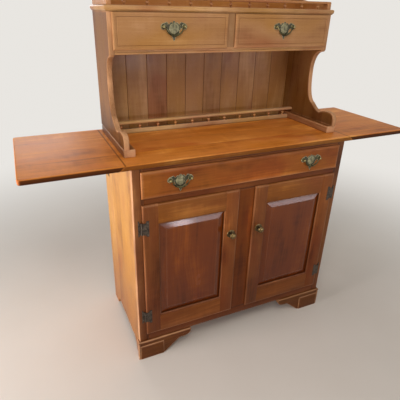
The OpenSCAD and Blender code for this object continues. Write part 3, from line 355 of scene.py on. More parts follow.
def skin(rings, hoop=False):
    """Points and faces over rings of n points: point i joins i + 1 and the same two of the next ring.

    The end rings are closed by a face each, or joined to each other in a hoop.
    """
    k, n = len(rings), len(rings[0])
    i = np.arange(n)
    first = np.arange(k if hoop else k - 1)[:, None] * n
    last = (first + n) % (k * n)
    quads = np.stack([first + i, first + (i + 1) % n, last + (i + 1) % n, last + i], 2)
    faces = quads.reshape(-1, 4).tolist()
    if not hoop:
        faces += [i[::-1].tolist(), (i + (k - 1) * n).tolist()]
    return np.concatenate(rings), faces


def lay(flat, level, axis):
    """Points of a flat loop at a level along X, Y or Z, with its two values on the other two axes."""
    out = np.empty((len(flat), 3))
    out[:, "xyz".index(axis)] = level
    out[:, {"x": [1, 2], "y": [0, 2], "z": [0, 1]}[axis]] = flat
    return out


def stacked(loop, steps, axis, hoop=False):
    """Shell of a loop carried along an axis, through rings (level, inset, edge), edge being the
    wear and painted highlight above 0, and the dirt and painted shade below 0.

    The loop is its points, or the lowest corner, highest corner and corner radius of a rectangle.
    """
    if isinstance(loop, tuple):
        lo, hi, corner = loop
        flat = [rectangle(np.add(lo, d), np.subtract(hi, d), corner - d) for _, d, _ in steps]
    else:
        flat = [inset(loop, d) for _, d, _ in steps]
    points, faces = skin([lay(f, step[0], axis) for f, step in zip(flat, steps)], hoop)
    return points, faces, np.repeat([step[2] for step in steps], len(flat[0]))


def plank(lo, hi, axis, r=0.0012):
    """Board between two corners, carried along an axis, with its arrises rounded to r."""
    k = "xyz".index(axis)
    rest = [i for i in range(3) if i != k]
    return stacked((np.take(lo, rest), np.take(hi, rest), 1.2 * r), eased(lo[k], hi[k], r), axis)


def piece(name, shells, finish, node=None, body="case", sharp=38):
    """One object of shells (points, faces, edge) that takes its CAD node's place and rides a body.

    Its faces point outwards, and edges over that many degrees stay sharp.
    """
    points, faces, edges, start = [], [], [], 0
    for p, f, e in shells:
        points.append(p)
        edges.append(e)
        faces += [[start + i for i in face] for face in f]
        start += len(p)
    mesh = bpy.data.meshes.new(name)
    mesh.from_pydata(np.concatenate(points), [], faces)
    wear = mesh.attributes.new("edge", "FLOAT", "POINT")
    wear.data.foreach_set("value", np.concatenate(edges).astype(np.float32))
    turned_out = bmesh.new()
    turned_out.from_mesh(mesh)
    bmesh.ops.recalc_face_normals(turned_out, faces=turned_out.faces)
    turned_out.to_mesh(mesh)
    turned_out.free()
    mesh.shade_smooth()
    mesh.set_sharp_from_angle(angle=math.radians(sharp))
    mesh.materials.append(finish)
    made = bpy.data.objects.new(name, mesh)
    bpy.context.scene.collection.objects.link(made)
    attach(made, body)
    if node:
        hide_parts(node)


side_maple = maple("side_maple", "z", 1, "#93612e", "#ba8742", "#d7a865", planks=("y", 0.118),
                   figure=0.9)
toe_width, heel_width, arch, arch_cove = 0.030, 0.050, 0.050, 0.032
for hand in ("left", "right"):
    lo, hi = corners_of(f"base_side_{hand}")
    toe, heel = lo[1] + toe_width, hi[1] - heel_width
    outline = np.concatenate([
        [(lo[1], hi[2]), (lo[1], 0), (toe, 0)],
        arc((toe + 0.006 + arch_cove, arch - arch_cove), arch_cove, 180, 90),
        arc((heel - arch, arch / 2), arch / 2, 90, 0), arc((heel, arch / 2), arch / 2, 180, 270)[1:],
        [(hi[1], 0), (hi[1], hi[2])]])
    piece(f"base_{hand}_board", [stacked(outline, eased(lo[0], hi[0], 0.0012), "x")], side_maple,
          f"base_side_{hand}")

# Back, floor and shelf of the base
# Thin plywood closes the rear. The floor and the shelf are poplar boards held in grooves,
# left with a thin clear coat, and are seen only through the open doors.

poplar = maple("poplar_board", "x", 5, "#a98354", "#c6a473", "#d9bd8d", planks=("y", 0.13),
               sheen=0.55, figure=0.7)
plywood = maple("plywood_back", "z", 6, "#a07848", "#bf9763", "#d1ae7b", sheen=0.6, figure=1.2)
for name, node, axis, r, finish in (("base_floor_board", "base_floor", "x", 0.0012, poplar),
                                    ("base_shelf_board", "base_shelf", "x", 0.0012, poplar),
                                    ("base_back_sheet", "base_back", "z", 0.0005, plywood)):
    piece(name, [plank(*corners_of(node), axis, r)], finish, node)

# Face frame
# Two outer stiles and a centre one run upright, with three rails tenoned between them. Each is
# a piece of its own, so the grain turns at every joint. Years of polish leave the lips of the
# doors and the drawer paler, with a painted highlight, and beside them the frame is painted dark:
# the painted shadow of the lips.

stile_maple = maple("stile_maple", "z", 11, "#4f2a11", "#784723", "#a26b3a")
centre_maple = maple("centre_stile_maple", "z", 13, "#4f2304", "#783d09", "#a45916")
rail_maple = maple("rail_maple", "x", 12, "#4e250a", "#774017", "#9f602a")
lip_cover, lip_thick, lip_round = 0.008, 0.012, 0.005


def carried(sections):
    """Shell over loops (points, edge) that are already in place, closed at both ends."""
    points, faces = skin([loop for loop, _ in sections])
    return points, faces, np.concatenate([np.broadcast_to(e, len(loop)) for loop, e in sections])


def framed(lo, hi, axis, marks, r=0.0006):
    """Board along X or Z whose front carries lines (across, edge), given in rising order."""
    k, run = (0, 2) if axis == "z" else (2, 0)
    rows = [(lo[k], hi[1], 0), (lo[k], lo[1] + r, 0.1), (lo[k] + r, lo[1], 0.2)]
    rows += [(u, lo[1], e) for u, e in marks]
    rows += [(hi[k] - r, lo[1], 0.2), (hi[k], lo[1] + r, 0.1), (hi[k], hi[1], 0)]
    u, y, e = np.array(rows).T
    flat = np.column_stack([u, y] if axis == "z" else [y, u])
    return carried([(lay(flat, level, axis), e) for level in (lo[run], hi[run])])


def lip_shadow(lip, out, reach=0.0035, fade_end=-0.05, hidden=0.003, line=0.0006):
    """Lines (across, edge) of the painted shadow that a lip casts on the frame, in rising order.

    The painted shadow starts under the lip, is as dark just outside it, and fades out at its
    reach. out is 1 or -1, for the side on which the frame shows.
    """
    return [(lip - out * hidden, -0.9), (lip + out * line, -0.9), (lip + out * reach, fade_end)][::out]


doors = [corners_of(f"door_{hand}_frame") for hand in ("left", "right")]
drawer_foot, drawer_top = (corner[2] for corner in corners_of("base_drawer_front"))
for hand, s in (("left", -1), ("right", 1)):
    lo, hi = corners_of(f"face_stile_{hand}")
    # Painted shadow darkens the stile beside the door's lip. Its outer side face is painted pale: painted
    # light, as bright as the lit side board next to it.
    points, faces, edge = framed(lo, hi, "z", lip_shadow(s * doors[1][1][0], s, hidden=0.004), 0.002)
    edge[np.abs(points[:, 0]) > max(abs(lo[0]), abs(hi[0])) - 0.0005] = 2.0
    piece(f"frame_stile_{hand}", [(points, faces, edge)], stile_maple, f"face_stile_{hand}")
stile_lo, stile_hi = corners_of("face_stile_centre")
# Painted shadow darkens the centre stile beside both doors' lips.
marks = lip_shadow(doors[0][1][0], 1, 0.004) + lip_shadow(doors[1][0][0], -1, 0.004)
piece("frame_stile_centre", [framed(stile_lo, stile_hi, "z", marks)], centre_maple,
      "face_stile_centre")
lo, hi = corners_of("face_rails")
door_foot, door_top = doors[0][0][2], doors[0][1][2]
# Painted shadow darkens the rails beside every lip, and along the top of the top rail under the counter's
# overhang.
rails = [
    (lo[2], stile_lo[2], lip_shadow(door_foot, -1)),
    (stile_hi[2], drawer_foot + lip_cover,
     lip_shadow(door_top, 1, fade_end=-0.2) + lip_shadow(drawer_foot, -1, fade_end=-0.2)),
    (drawer_top - lip_cover, hi[2], lip_shadow(drawer_top, 1, 0.003, -0.3) + [(hi[2] - 0.0015, -0.9)])]
piece("frame_rails", [framed((lo[0], lo[1], a), (hi[0], hi[1], b), "x", marks) for a, b, marks in rails],
      rail_maple, "face_rails")

# Front feet
# Each foot is a bracket sawn to a scroll, with a bevelled strip nailed along its top, a
# raised block at its corner and a bead down its outer arris.

foot_maple = maple("foot_maple", "x", 21, "#5e3a16", "#7b5023", "#986d37")
block_width, block_height, strip_height, set_back, bead_r = 0.108, 0.067, 0.008, 0.004, 0.003
for hand, s in (("left", -1), ("right", 1)):
    lo, hi = corners_of(f"foot_front_{hand}")
    front, face, top = lo[1], lo[1] + set_back, hi[2]
    end = max(abs(lo[0]), abs(hi[0]))
    tip, block, under = end - (hi[0] - lo[0]), end - block_width, top - strip_height
    cusp = top * 0.59
    outline = np.concatenate([
        [(end - bead_r, 0), (end - bead_r, under), (tip, under)],
        bend((tip, under), (tip - 0.005, under - 0.012), (tip + 0.008, under - 0.022), 6)[1:],
        bend((tip + 0.008, under - 0.022), (tip + 0.016, cusp), (tip + 0.048, cusp), 6)[1:],
        bend((tip + 0.052, cusp), (block - 0.030, cusp * 0.4), (block - 0.006, 0))])
    bracket = stacked(outline * (s, 1), eased(face, hi[1], 0.001), "y")
    # The strip is painted dark along its underside, painted shade, and pale along its top arris, wear with
    # a painted highlight.
    strip_steps = [(under, 0.002, -0.9), (under, 0.0004, -0.5), (under + 0.0004, 0, 0.2),
                   (top - 0.0035, 0, 0.6), (top - 0.003, 0.0002, 1.5), (top - 0.0004, 0.0028, 1.5),
                   (top, 0.0036, 0.8), (top, 0.006, 0)]
    x0, x1 = sorted((s * tip, s * end))
    strip = stacked(((x0, front), (x1, hi[1]), 0.0008), strip_steps, "z")
    x0, x1 = sorted((s * block, s * (end - 0.007)))
    # The block is painted dark where it meets the bracket, painted shade, and pale on its front arris,
    # wear with a painted highlight.
    block_steps = [(face + 0.001, 0, -0.6), (front + 0.0008, 0, 0.6), (front, 0.0008, 1.3),
                   (front, 0.0022, 0), (front, 0.006, 0)]
    points, faces, edge = stacked(((x0, 0), (x1, block_height), 0.0006), block_steps, "y")
    # The block's top 3.5 mm slope back to the bracket's face.
    slope = np.clip((points[:, 2] - (block_height - 0.0035)) / 0.0035, 0, 1)
    points[:, 1] = np.maximum(points[:, 1], front + slope * set_back)
    # The sloping top is painted pale as well: a painted highlight where it faces the light, and wear.
    raised = (points, faces, np.maximum(edge, 1.4 * slope))
    # The bead is painted pale: wear, with a painted highlight down the corner.
    bead_steps = [(0, 0.001, 0.6), (0.001, 0, 1.3), (under - 0.0005, 0, 1.3), (under, 0.0005, 0)]
    bead = stacked(arc((s * (end - bead_r), face), bead_r, 0, 330, 11), bead_steps, "z")
    piece(f"foot_{hand}", [bracket, strip, raised, bead], foot_maple, f"foot_front_{hand}")

# Counter and leaves
# A glued-up maple top with rounded long edges. Each leaf is the same board sawn off on a
# slope, so that it closes on the fixed part's edge in a thin dark line.

counter_maple = maple("counter_maple", "x", 31, "#a15b23", "#d7873d", "#ffb661",
                      planks=("y", 0.104), sheen=0.34, coat=0.0, mirror=0.05)
nose_r, leaf_corner, joint_gap = 0.004, 0.012, 0.0005
lo, hi = corners_of("counter_top")
rail_lo, rail_hi = corners_of("plate_rail_strips")
wall_y = corners_of("hutch_back")[0][1]
# Painted shade lies under the plate rail and before it, where the rail and the hutch shadow the
# counter, at these distances from the front (y, edge).
rail_shade = np.array([(wall_y + 0.004, -1), (wall_y - 0.001, -1), (rail_hi[1], -1), (rail_lo[1] + 0.004, -0.9),
                 (rail_lo[1] + 0.001, -0.8), (rail_lo[1] - 0.004, -0.15), (rail_lo[1] - 0.030, 0)])
corners = rectangle(lo[1:], hi[1:], nose_r, 6)
top_section = np.concatenate([
    corners[:21], np.column_stack([rail_shade[:, 0], np.full(len(rail_shade), hi[2])]), corners[21:]])
# Edge values at the section's corners and its nose: the front face is painted dark down to its lower
# arris, and the rear top arris is paler.
behind = [-0.95] * 7 + [0] * 7 + [0.3] * 7
nose = [0.1, 0.3, 0.4, 0.1, -0.4, -0.8, -0.9]
corner_tones = np.concatenate([behind, np.zeros(len(rail_shade)), nose])
rail_shaded = np.concatenate([behind, rail_shade[:, 1], nose])
shut = np.full(len(top_section), -1.0)


def mitred(s, x, way, wear):
    """Rings (points, edge) at a 45 degree end: each point's X is less by its height over the board's foot.

    They lie at x, then 1.5 and 4 mm further on in the direction way, from the dirty joint to the wear.
    """
    rings = []
    for step, edge in ((0, shut), (0.0015, shut * 0.5), (0.004, wear)):
        points = lay(top_section, 0.0, "x")
        points[:, 0] = s * (x + way * step - (top_section[:, 1] - lo[2]))
        rings.append((points, edge))
    return rings


middle_rings = [(lay(top_section, x, "x"), edge) for x, edge in (
    (rail_lo[0] - 0.012, corner_tones), (rail_lo[0] - 0.001, rail_shaded),
    (rail_hi[0] + 0.001, rail_shaded), (rail_hi[0] + 0.012, corner_tones))]
piece("counter_board", [carried(mitred(-1, hi[0], -1, corner_tones) + middle_rings
                                + mitred(1, hi[0], -1, corner_tones)[::-1])],
      counter_maple, "counter_top")

# The leaves' front faces are painted darker still.
leaf_tones = np.where(corner_tones < 0, 1.3 * corner_tones, corner_tones)
level, half_thick = (lo[2] + hi[2]) / 2, (hi[2] - lo[2]) / 2
for hand, s in (("left", -1), ("right", 1)):
    leaf_lo, leaf_hi = corners_of(f"leaf_{hand}")
    tip = max(abs(leaf_lo[0]), abs(leaf_hi[0]))
    middle, half = (leaf_lo[1] + leaf_hi[1]) / 2, (leaf_hi[1] - leaf_lo[1]) / 2
    rings = mitred(s, hi[0] + joint_gap, 1, leaf_tones)
    # The free end is rounded in plan by its corners, and in height by the nose.
    for a in np.radians(np.linspace(0, 90, 9)):
        into = min(nose_r, leaf_corner * (1 - np.sin(a)))
        pinch = nose_r - np.sqrt(max(nose_r ** 2 - (nose_r - into) ** 2, 0))
        flat = top_section.copy()
        flat[:, 0] = middle + (flat[:, 0] - middle) * (half - leaf_corner * (1 - np.cos(a))) / half
        flat[:, 1] = level + (flat[:, 1] - level) * (half_thick - pinch) / half_thick
        rings.append((lay(flat, s * (tip - leaf_corner * (1 - np.sin(a))), "x"),
                      leaf_tones * np.cos(a) ** 2 + 0.3 * np.sin(a) ** 4))
    piece(f"leaf_{hand}_board", [carried(rings)], counter_maple, f"leaf_{hand}", f"leaf_{hand}")

# Base drawer
# A thick maple front whose rounded lip covers the frame, on a box of poplar with its bottom
# in grooves. The sides run on strips fixed inside the case.


def lipped(front, back, cover=lip_cover):
    """Steps from the back of a lipped front to its face.

    A rabbet enters the opening, a square lip covers the frame, and a quarter circle rounds it off.
    """
    # The rounded nose is painted paler: wear, and a painted highlight where light catches the lip.
    nose = [(front + lip_round * (1 - np.sin(a)), lip_round * (1 - np.cos(a)), 0.55)
            for a in np.radians(np.linspace(0, 90, 6))]
    frame_face = back - lip_thick
    return [(back, cover + 0.0065, 0), (back, cover + 0.0015, 0.3), (frame_face, cover + 0.0015, 0),
            (frame_face, 0.0003, 0), *nose, (front, lip_round + 0.0008, 0.35),
            (front, lip_round + 0.007, 0)]


drawer_maple = maple("drawer_maple", "x", 41, "#63320a", "#95551a", "#c57a2d")
lo, hi = corners_of("base_drawer_front")
piece("base_drawer_board", [stacked((lo[[0, 2]], hi[[0, 2]], 0.0015), lipped(lo[1], hi[1]), "y")],
      drawer_maple, "base_drawer_front", "base_drawer")

# Doors
# Each door is a frame of two stiles and two rails round a raised panel. The frame's outer
# edge is lipped like the drawer's, and a small ovolo runs round inside it, mitred.

# The doors' woods are darker copies of the maple of the hutch drawers: painted shade, as the front of the
# base gets less light. The rails' copy is a little lighter: painted light on the top rail.
door_maple = maple("door_maple", "z", 51, "#51290c", "#7c451c", "#a66630")
door_rail_maple = maple("door_rail_maple", "x", 52, "#572e0d", "#864f1e", "#b17333")
panel_maple = maple("panel_maple", "z", 53, "#502101", "#6f3305", "#904a0b", sheen=0.24,
                    coat=0.45)


def member(width, start, stop, front, back, lipped_ends):
    """Member of a door's frame as (across, y, along), lipped at across 0 and square at its width.

    At a lipped end the front falls back along the same quarter circle, and the back stops short
    of the end by the rabbet.
    """
    rabbet, frame_face = lip_cover + 0.0015, back - lip_thick
    a = np.radians(np.linspace(0, 90, 6))
    rim = lip_round * (1 - np.cos(a))
    profile = np.concatenate([
        [(rabbet, back), (rabbet, frame_face), (0, frame_face)],
        np.column_stack([rim, front + lip_round * (1 - np.sin(a))]),
        [(lip_round + 0.001, front), (width - 0.001, front), (width, front + 0.0006), (width, back)]])
    # The profile's nose is paler, wear with a painted highlight; the lip's back corner and the inner
    # corner by the sticking are darker, painted shade.
    wear = np.array([0, 0, -0.2, -0.1] + [0.45] * 5 + [0.1, 0, -0.45, 0])
    near = [(0.0, 0), (0.0003, 0)]
    if lipped_ends:
        near = [(d, 0.6) for d in rim] + [(rabbet - 0.0001, 0), (rabbet + 0.0001, 0)]
    rings, values = [], []
    for t, d, e in [(start + d, d, e) for d, e in near] + [(stop - d, d, e) for d, e in near[::-1]]:
        points = np.column_stack([profile, np.full(len(profile), t)])
        if lipped_ends:
            fall = lip_round - np.sqrt(lip_round ** 2 - max(lip_round - d, 0) ** 2)
            points[:, 1] = np.maximum(points[:, 1], front + fall)
        if lipped_ends and d < rabbet:
            points[:, 1] = np.minimum(points[:, 1], frame_face)
        rings.append(points)
        values.append(np.where(profile[:, 1] < frame_face, np.maximum(wear, e), wear))
    points, faces = skin(rings)
    return points, faces, np.concatenate(values)


stile_width, low_rail, top_rail, ovolo_r = 0.057, 0.082, 0.078, 0.0038
for hand in ("left", "right"):
    lo, hi = corners_of(f"door_{hand}_frame")
    front, back = lo[1], hi[1]
    left, right = lo[0] + stile_width, hi[0] - stile_width
    stiles, rails = [], []
    for x, way in ((lo[0], 1), (hi[0], -1)):
        p, f, e = member(stile_width, lo[2], hi[2], front, back, True)
        stiles.append((np.column_stack([x + way * p[:, 0], p[:, 1], p[:, 2]]), f, e))
    for z, way, width in ((lo[2], 1, low_rail), (hi[2], -1, top_rail)):
        p, f, e = member(width, left, right, front, back, False)
        rails.append((np.column_stack([p[:, 2], p[:, 1], z + way * p[:, 0]]), f, e))
    piece(f"door_{hand}_stiles", stiles, door_maple, body=f"door_{hand}")
    piece(f"door_{hand}_rails", rails, door_rail_maple, f"door_{hand}_frame", f"door_{hand}")
    ovolo = [(front + 0.0008 + ovolo_r * np.sin(a), 0.0045 - ovolo_r * np.cos(a), 0.35)
             for a in np.radians(np.linspace(0, 90, 5))]
    # The ovolo is paler, wear with a painted highlight; the quirks beside it and the edge against the
    # panel are painted dark, painted shade.
    steps = [(back, 0, 0), (front, 0, -0.1), (front, 0.0006, -0.5), (front + 0.0008, 0.0007, -0.3),
             *ovolo, (front + 0.005, 0.0045, -0.7), (front + 0.005, 0.005, -1), (back, 0.005, -0.6)]
    window = ((left, lo[2] + low_rail), (right, hi[2] - top_rail), 0.0)
    piece(f"door_{hand}_sticking", [stacked(window, steps, "y", hoop=True)], door_maple,
          body=f"door_{hand}")
    lo, hi = corners_of(f"door_{hand}_panel")
    tongue, field = hi[1] - 0.006, lo[1]
    # The tongue and the shoulder of the raised field are painted dark, painted shade, and the field's
    # arris paler, wear with a painted highlight.
    steps = [(hi[1], 0.003, 0), (hi[1], 0, 0), (tongue, 0, 0), (tongue, 0.0058, -1),
             (tongue - 0.0002, 0.0070, -0.8), (tongue - 0.0010, 0.0094, -0.15),
             (field + 0.0014, 0.0288, 0.0), (field + 0.0010, 0.0297, -0.7),
             (field + 0.0003, 0.0299, 0.2), (field, 0.0303, 0.4), (field, 0.0312, 0.1),
             (field, 0.036, 0)]
    piece(f"door_{hand}_field", [stacked((lo[[0, 2]], hi[[0, 2]], 0.0004), steps, "y")],
          panel_maple, f"door_{hand}_panel", f"door_{hand}", sharp=20)

# Sides and shoes of the hutch
# Each side is one wide board. Its front edge sweeps in under the drawers, then out to a cusp
# and a round toe, and it stands on a thicker shoe screwed to the counter.

# The hutch's maple and the shoes' maple are darker copies: painted shade, as the inner faces of the sides
# and the outer faces of the shoes lie in shade.
hutch_maple = maple("hutch_maple", "z", 61, "#653f1f", "#805935", "#97764e", planks=("y", 0.121),
                    coat=0.0, mirror=0.06)
shoe_maple = maple("shoe_maple", "y", 62, "#5b2d0b", "#764219", "#8b5824")
side_front, case_height, toe_reach, shoe_width, shoe_back = -0.008, 0.130, 0.130, 0.041, 0.211
shoe_lo, shoe_hi = corners_of("hutch_shoes")
for hand in ("left", "right"):
    lo, hi = corners_of(f"hutch_side_{hand}")
    foot, case_z, toe = lo[2], hi[2] - case_height, side_front - toe_reach
    cusp = np.array([side_front - 0.038, shoe_lo[2] + 0.066])
    waist = np.array([side_front + 0.057, case_z - 0.074])
    throat = cusp + (0.052, 0.028)
    brow = (toe + 0.028, cusp[1] + 0.012)
    outline = np.concatenate([
        [(hi[1], foot), (hi[1], hi[2]), (side_front, hi[2]), (side_front, case_z)],
        bend((side_front + 0.006, case_z - 0.007), (waist[0] - 0.008, case_z - 0.009), waist),
        bend(waist, (waist[0] + 0.002, cusp[1] + 0.042), throat)[1:],
        bend(throat, cusp + (0.026, 0.003), cusp, 6)[1:],
        bend(cusp, (toe + 0.060, cusp[1] + 0.018), brow, 6)[1:],
        bend(brow, (toe - 0.006, cusp[1] + 0.008), (toe + 0.003, foot))[1:]])
    points, faces, edge = stacked(outline, eased(lo[0], hi[0], 0.0015), "x")
    # The front edge is painted paler, most below the waist: wear from hands, and painted light where
    # the light catches that edge.
    fore = points[:, 1] < waist[0] + 0.001
    edge = edge * np.where(fore, np.where(points[:, 2] < waist[1], 3, 1.8), 1)
    piece(f"hutch_{hand}_board", [(points, faces, edge)], hutch_maple, f"hutch_side_{hand}")
shells = []
for s in (-1, 1):
    x0, x1 = sorted((s * (shoe_hi[0] - shoe_width), s * shoe_hi[0]))
    # The shoe is painted dark at its foot: a painted contact shadow on the counter.
    steps = [(shoe_lo[2], 0.006, 0), (shoe_lo[2], 0.0006, -0.5), (shoe_lo[2] + 0.0006, 0, 0)]
    points, faces, edge = stacked(((x0, shoe_lo[1]), (x1, shoe_back), 0.004),
                                  steps + eased(shoe_lo[2], shoe_hi[2], 0.0035)[5:], "z")
    # The shoe's front end is painted pale: painted light where the light catches it, and wear.
    edge[points[:, 1] < shoe_lo[1] + 0.004] += 2.2
    shells.append((points, faces, edge))
piece("hutch_shoe_pair", shells, shoe_maple, "hutch_shoes")

# Back, top and drawer case of the hutch
# Upright back boards meet in V grooves. The top has a rounded nose over a cove, and the
# drawers stand on a floor behind a beaded rail, with a stile and a partition between them.

back_maple = maple("back_maple", "z", 71, "#896039", "#a87c53", "#c1986d", planks=("x", 0.084),
                   figure=0.8)
top_maple = maple("top_maple", "x", 72, "#8e6339", "#b58b5c", "#d5b184", planks=("y", 0.11))
# The stile between the hutch drawers gets a darker copy of the top's maple: painted shade of its recess
# behind the drawers' lips.
case_stile_maple = maple("case_stile_maple", "z", 73, "#7f5c36", "#a37c50", "#c19f73")
board_width, groove = 0.084, 0.0016
lo, hi = corners_of("hutch_back")
seams = np.arange(-4, 5) * board_width
grooves = np.column_stack([(seams[:, None] + np.array([-1, -0.5, 0, 0.5, 1]) * groove).ravel(),
                           np.tile(lo[1] + np.array([0, 0.6, 1, 0.6, 0]) * groove, len(seams))])
section = np.concatenate([[(lo[0], hi[1]), (lo[0], lo[1])], grooves, [(hi[0], lo[1]), (hi[0], hi[1])]])
tones = np.concatenate([[0, 0], np.tile([0, -0.3, -0.6, -0.3, 0], len(seams)), [0, 0]])
piece("hutch_back_boards", [carried([(lay(section, z, "z"), tones) for z in (lo[2], hi[2])])],
      back_maple, "hutch_back")

lo, hi = corners_of("hutch_top")
nose_top = 0.006
steps = [(lo[2], 0.012, 0), (lo[2], 0.0045, -0.4), (lo[2] + 0.002, 0.0042, -0.5),
         (lo[2] + 0.0042, 0.0028, 0), (lo[2] + 0.0055, 0.0006, 0.2), (hi[2] - 0.0065, 0, 0.4)]
steps += [(hi[2] - nose_top * (1 - np.sin(a)), nose_top * (1 - np.cos(a)), 0.5)
          for a in np.radians(np.linspace(0, 90, 6))]
steps += [(hi[2], 0.007, 0.3), (hi[2], 0.014, 0)]
points, faces, edge = stacked((lo[:2], hi[:2] + (0, 0.02), 0.001), steps, "z")
# The moulding doesn't turn the rear corners: the board is cut off square there.
points[:, 1] = np.minimum(points[:, 1], hi[1])
piece("hutch_top_board", [(points, faces, edge)], top_maple, "hutch_top")
piece("drawer_case_floor", [plank(*corners_of("hutch_drawer_floor"), "x", 0.0008)], top_maple,
      "hutch_drawer_floor")

lo, hi = corners_of("hutch_bottom_rail")
y, z, rail_bead = lo[1], lo[2], 0.0035
section = np.concatenate([
    [(hi[1], z), (hi[1], hi[2]), (y + 0.0015, hi[2]), (y + 0.001, hi[2] - 0.0005),
     (y + 0.001, z + 2 * rail_bead + 0.0014), (y + 0.0022, z + 2 * rail_bead + 0.0002)],
    arc((y + rail_bead, z + rail_bead), rail_bead, 100, 270, 10)])
# The quirk above the bead is painted dark, painted shade under the drawers' lips, and the bead is paler,
# wear with a painted highlight.
tones = np.array([0, 0, 0.3, 0.3, 0.2, -0.9] + [0.6] * 11)
piece("drawer_case_rail", [carried([(lay(section, x, "x"), tones) for x in (lo[0], hi[0])])],
      top_maple, "hutch_bottom_rail")

lo, hi = corners_of("hutch_partition")
stile_back, partition_half = lo[1] + 0.012, 0.009
left = corners_of("hutch_left_drawer_front")[1][0]
right = corners_of("hutch_right_drawer_front")[0][0]
# Painted shadow darkens the stile on both sides, beside the drawers' lips.
marks = lip_shadow(left, 1, 0.003, -0.1, line=0.0008) + lip_shadow(right, -1, 0.003, -0.1, line=0.0008)
piece("drawer_case_stile", [
    framed(lo, (hi[0], stile_back, hi[2]), "z", marks),
    plank((-partition_half, stile_back, lo[2]), (partition_half, hi[1], hi[2]), "z", 0.0006)],
    case_stile_maple, "hutch_partition")

# Hutch drawers
# Small lipped fronts of the same maple as the doors, painted paler: a painted sheen of window
# light. A line is sunk round the field, and they stand on poplar boxes.
# Their lips cover the case by half as much as those below.

small_maple = maple("small_drawer_maple", "x", 81, "#8b5e3c", "#ab7f55", "#c39a75", sheen=0.5,
                    coat=0.0)
line_in = 0.013
for hand in ("left", "right"):
    lo, hi = corners_of(f"hutch_{hand}_drawer_front")
    steps = lipped(lo[1], hi[1], lip_cover / 2)[:-1]
    # The sunk line is painted dark in its hollow, painted shade, and paler on its arrises, wear with a
    # painted highlight.
    steps += [(lo[1] + depth, line_in + d, e) for depth, d, e in (
        (0, -0.0005, 0.1), (0.0002, 0, 0.3), (0.0012, 0.0004, -0.5), (0.0013, 0.0008, -0.6),
        (0.0010, 0.0014, -0.3), (0.0002, 0.0022, 0.2), (0, 0.0028, 0.4), (0, 0.005, 0))]
    piece(f"hutch_{hand}_drawer_board", [stacked((lo[[0, 2]], hi[[0, 2]], 0.0012), steps, "y")],
          small_maple, f"hutch_{hand}_drawer_front", f"hutch_drawer_{hand}", sharp=30)

# Galleries
# Short turned spindles stand between two strips on the counter, where plates are leaned, and
# under a rail on the top, which runs between two end boards that rise to a scrolled crest.

spindle_maple = maple("spindle_maple", "z", 91, "#b0784a", "#d39c6a", "#ecbf8e", sheen=0.3)
strip_maple = maple("strip_maple", "x", 92, "#a07550", "#c9a67f", "#e7ceab")
# The crest's maple is a lightened copy: painted light, lifting the shade on the top gallery.
crest_maple = maple("crest_maple", "x", 93, "#85532c", "#a97346", "#c39163")


def turned(centre, profile, n=20):
    """Round shell about an upright line: a profile (radius, height, edge) in n equal steps of a turn."""
    a = np.linspace(0, 2 * np.pi, n, endpoint=False)
    rings = [np.column_stack([centre[0] + r * np.cos(a), centre[1] + r * np.sin(a),
                              np.full(n, centre[2] + z)]) for r, z, _ in profile]
    points, faces = skin(rings)
    return points, faces, np.repeat([p[2] for p in profile], n)


# A spindle's foot, fillet, ball between two coves, and collar: shares of its radius and height,
# and its edge value, painted shade in the coves and paler on the ball, wear with a painted highlight.
spindle_rows = [
    (0.72, 0.0, 0), (0.78, 0.03, 0.4), (0.78, 0.09, 0.6), (0.5, 0.13, -0.8), (0.40, 0.19, -0.6),
    (0.52, 0.26, 0), (0.78, 0.34, 0.2), (0.96, 0.43, 0.7), (1.0, 0.49, 0.9), (0.95, 0.56, 0.6),
    (0.75, 0.64, 0.1), (0.45, 0.69, -0.7), (0.38, 0.76, -0.5), (0.40, 0.84, 0), (0.6, 0.88, -0.3),
    (0.68, 0.92, 0.6), (0.66, 1.0, 0)]
spindle_count = 11
for node, finish in (("plate_rail_spindles", spindle_maple), ("top_gallery_spindles", crest_maple)):
    lo, hi = corners_of(node)
    r, height = (hi[1] - lo[1]) / 2, hi[2] - lo[2]
    profile = [(r * a, height * b, e) for a, b, e in spindle_rows]
    shells = [turned((x, (lo[1] + hi[1]) / 2, lo[2]), profile)
              for x in np.linspace(lo[0] + r, hi[0] - r, spindle_count)]
    piece(f"turned_{node}", shells, finish, node, sharp=50)


def strip_of(x0, x1, section, wear=0.5):
    """Strip along X of one section in Y and Z, with both ends closed."""
    return carried([(lay(section, x, "x"), wear) for x in (x0, x1)])


lo, hi = corners_of("plate_rail_strips")
strip_end = shoe_hi[0] - shoe_width
low_section = np.concatenate([
    [(hi[1] - 0.002, lo[2]), (hi[1] - 0.002, lo[2] + 0.017), (lo[1] + 0.0085, lo[2] + 0.017)],
    arc((lo[1] + 0.005, lo[2] + 0.014), 0.003, 90, 180, 5),
    [(lo[1] + 0.002, lo[2] + 0.001), (lo[1] + 0.002, lo[2])]])
# The lower strip's top behind the upper strip, and its foot on the counter, are painted dark: painted
# shade and a painted contact shadow. Its nose is paler, wear with a painted highlight.
strip_shade = np.array([0, -0.9, -0.9, 0.3, 0.6, 0.7, 0.7, 0.6, 0.3, -0.2, -0.9])
high_section = rectangle((lo[1], hi[2] - 0.012), hi[1:], 0.0059, 6)
piece("plate_strips", [strip_of(-strip_end, strip_end, low_section, strip_shade),
                       strip_of(lo[0], hi[0], high_section)], strip_maple, "plate_rail_strips", sharp=50)
lo, hi = corners_of("top_gallery_rail")
piece("gallery_rail", [strip_of(lo[0], hi[0], rectangle(lo[1:], hi[1:], 0.0044, 6))], crest_maple,
      "top_gallery_rail", sharp=50)

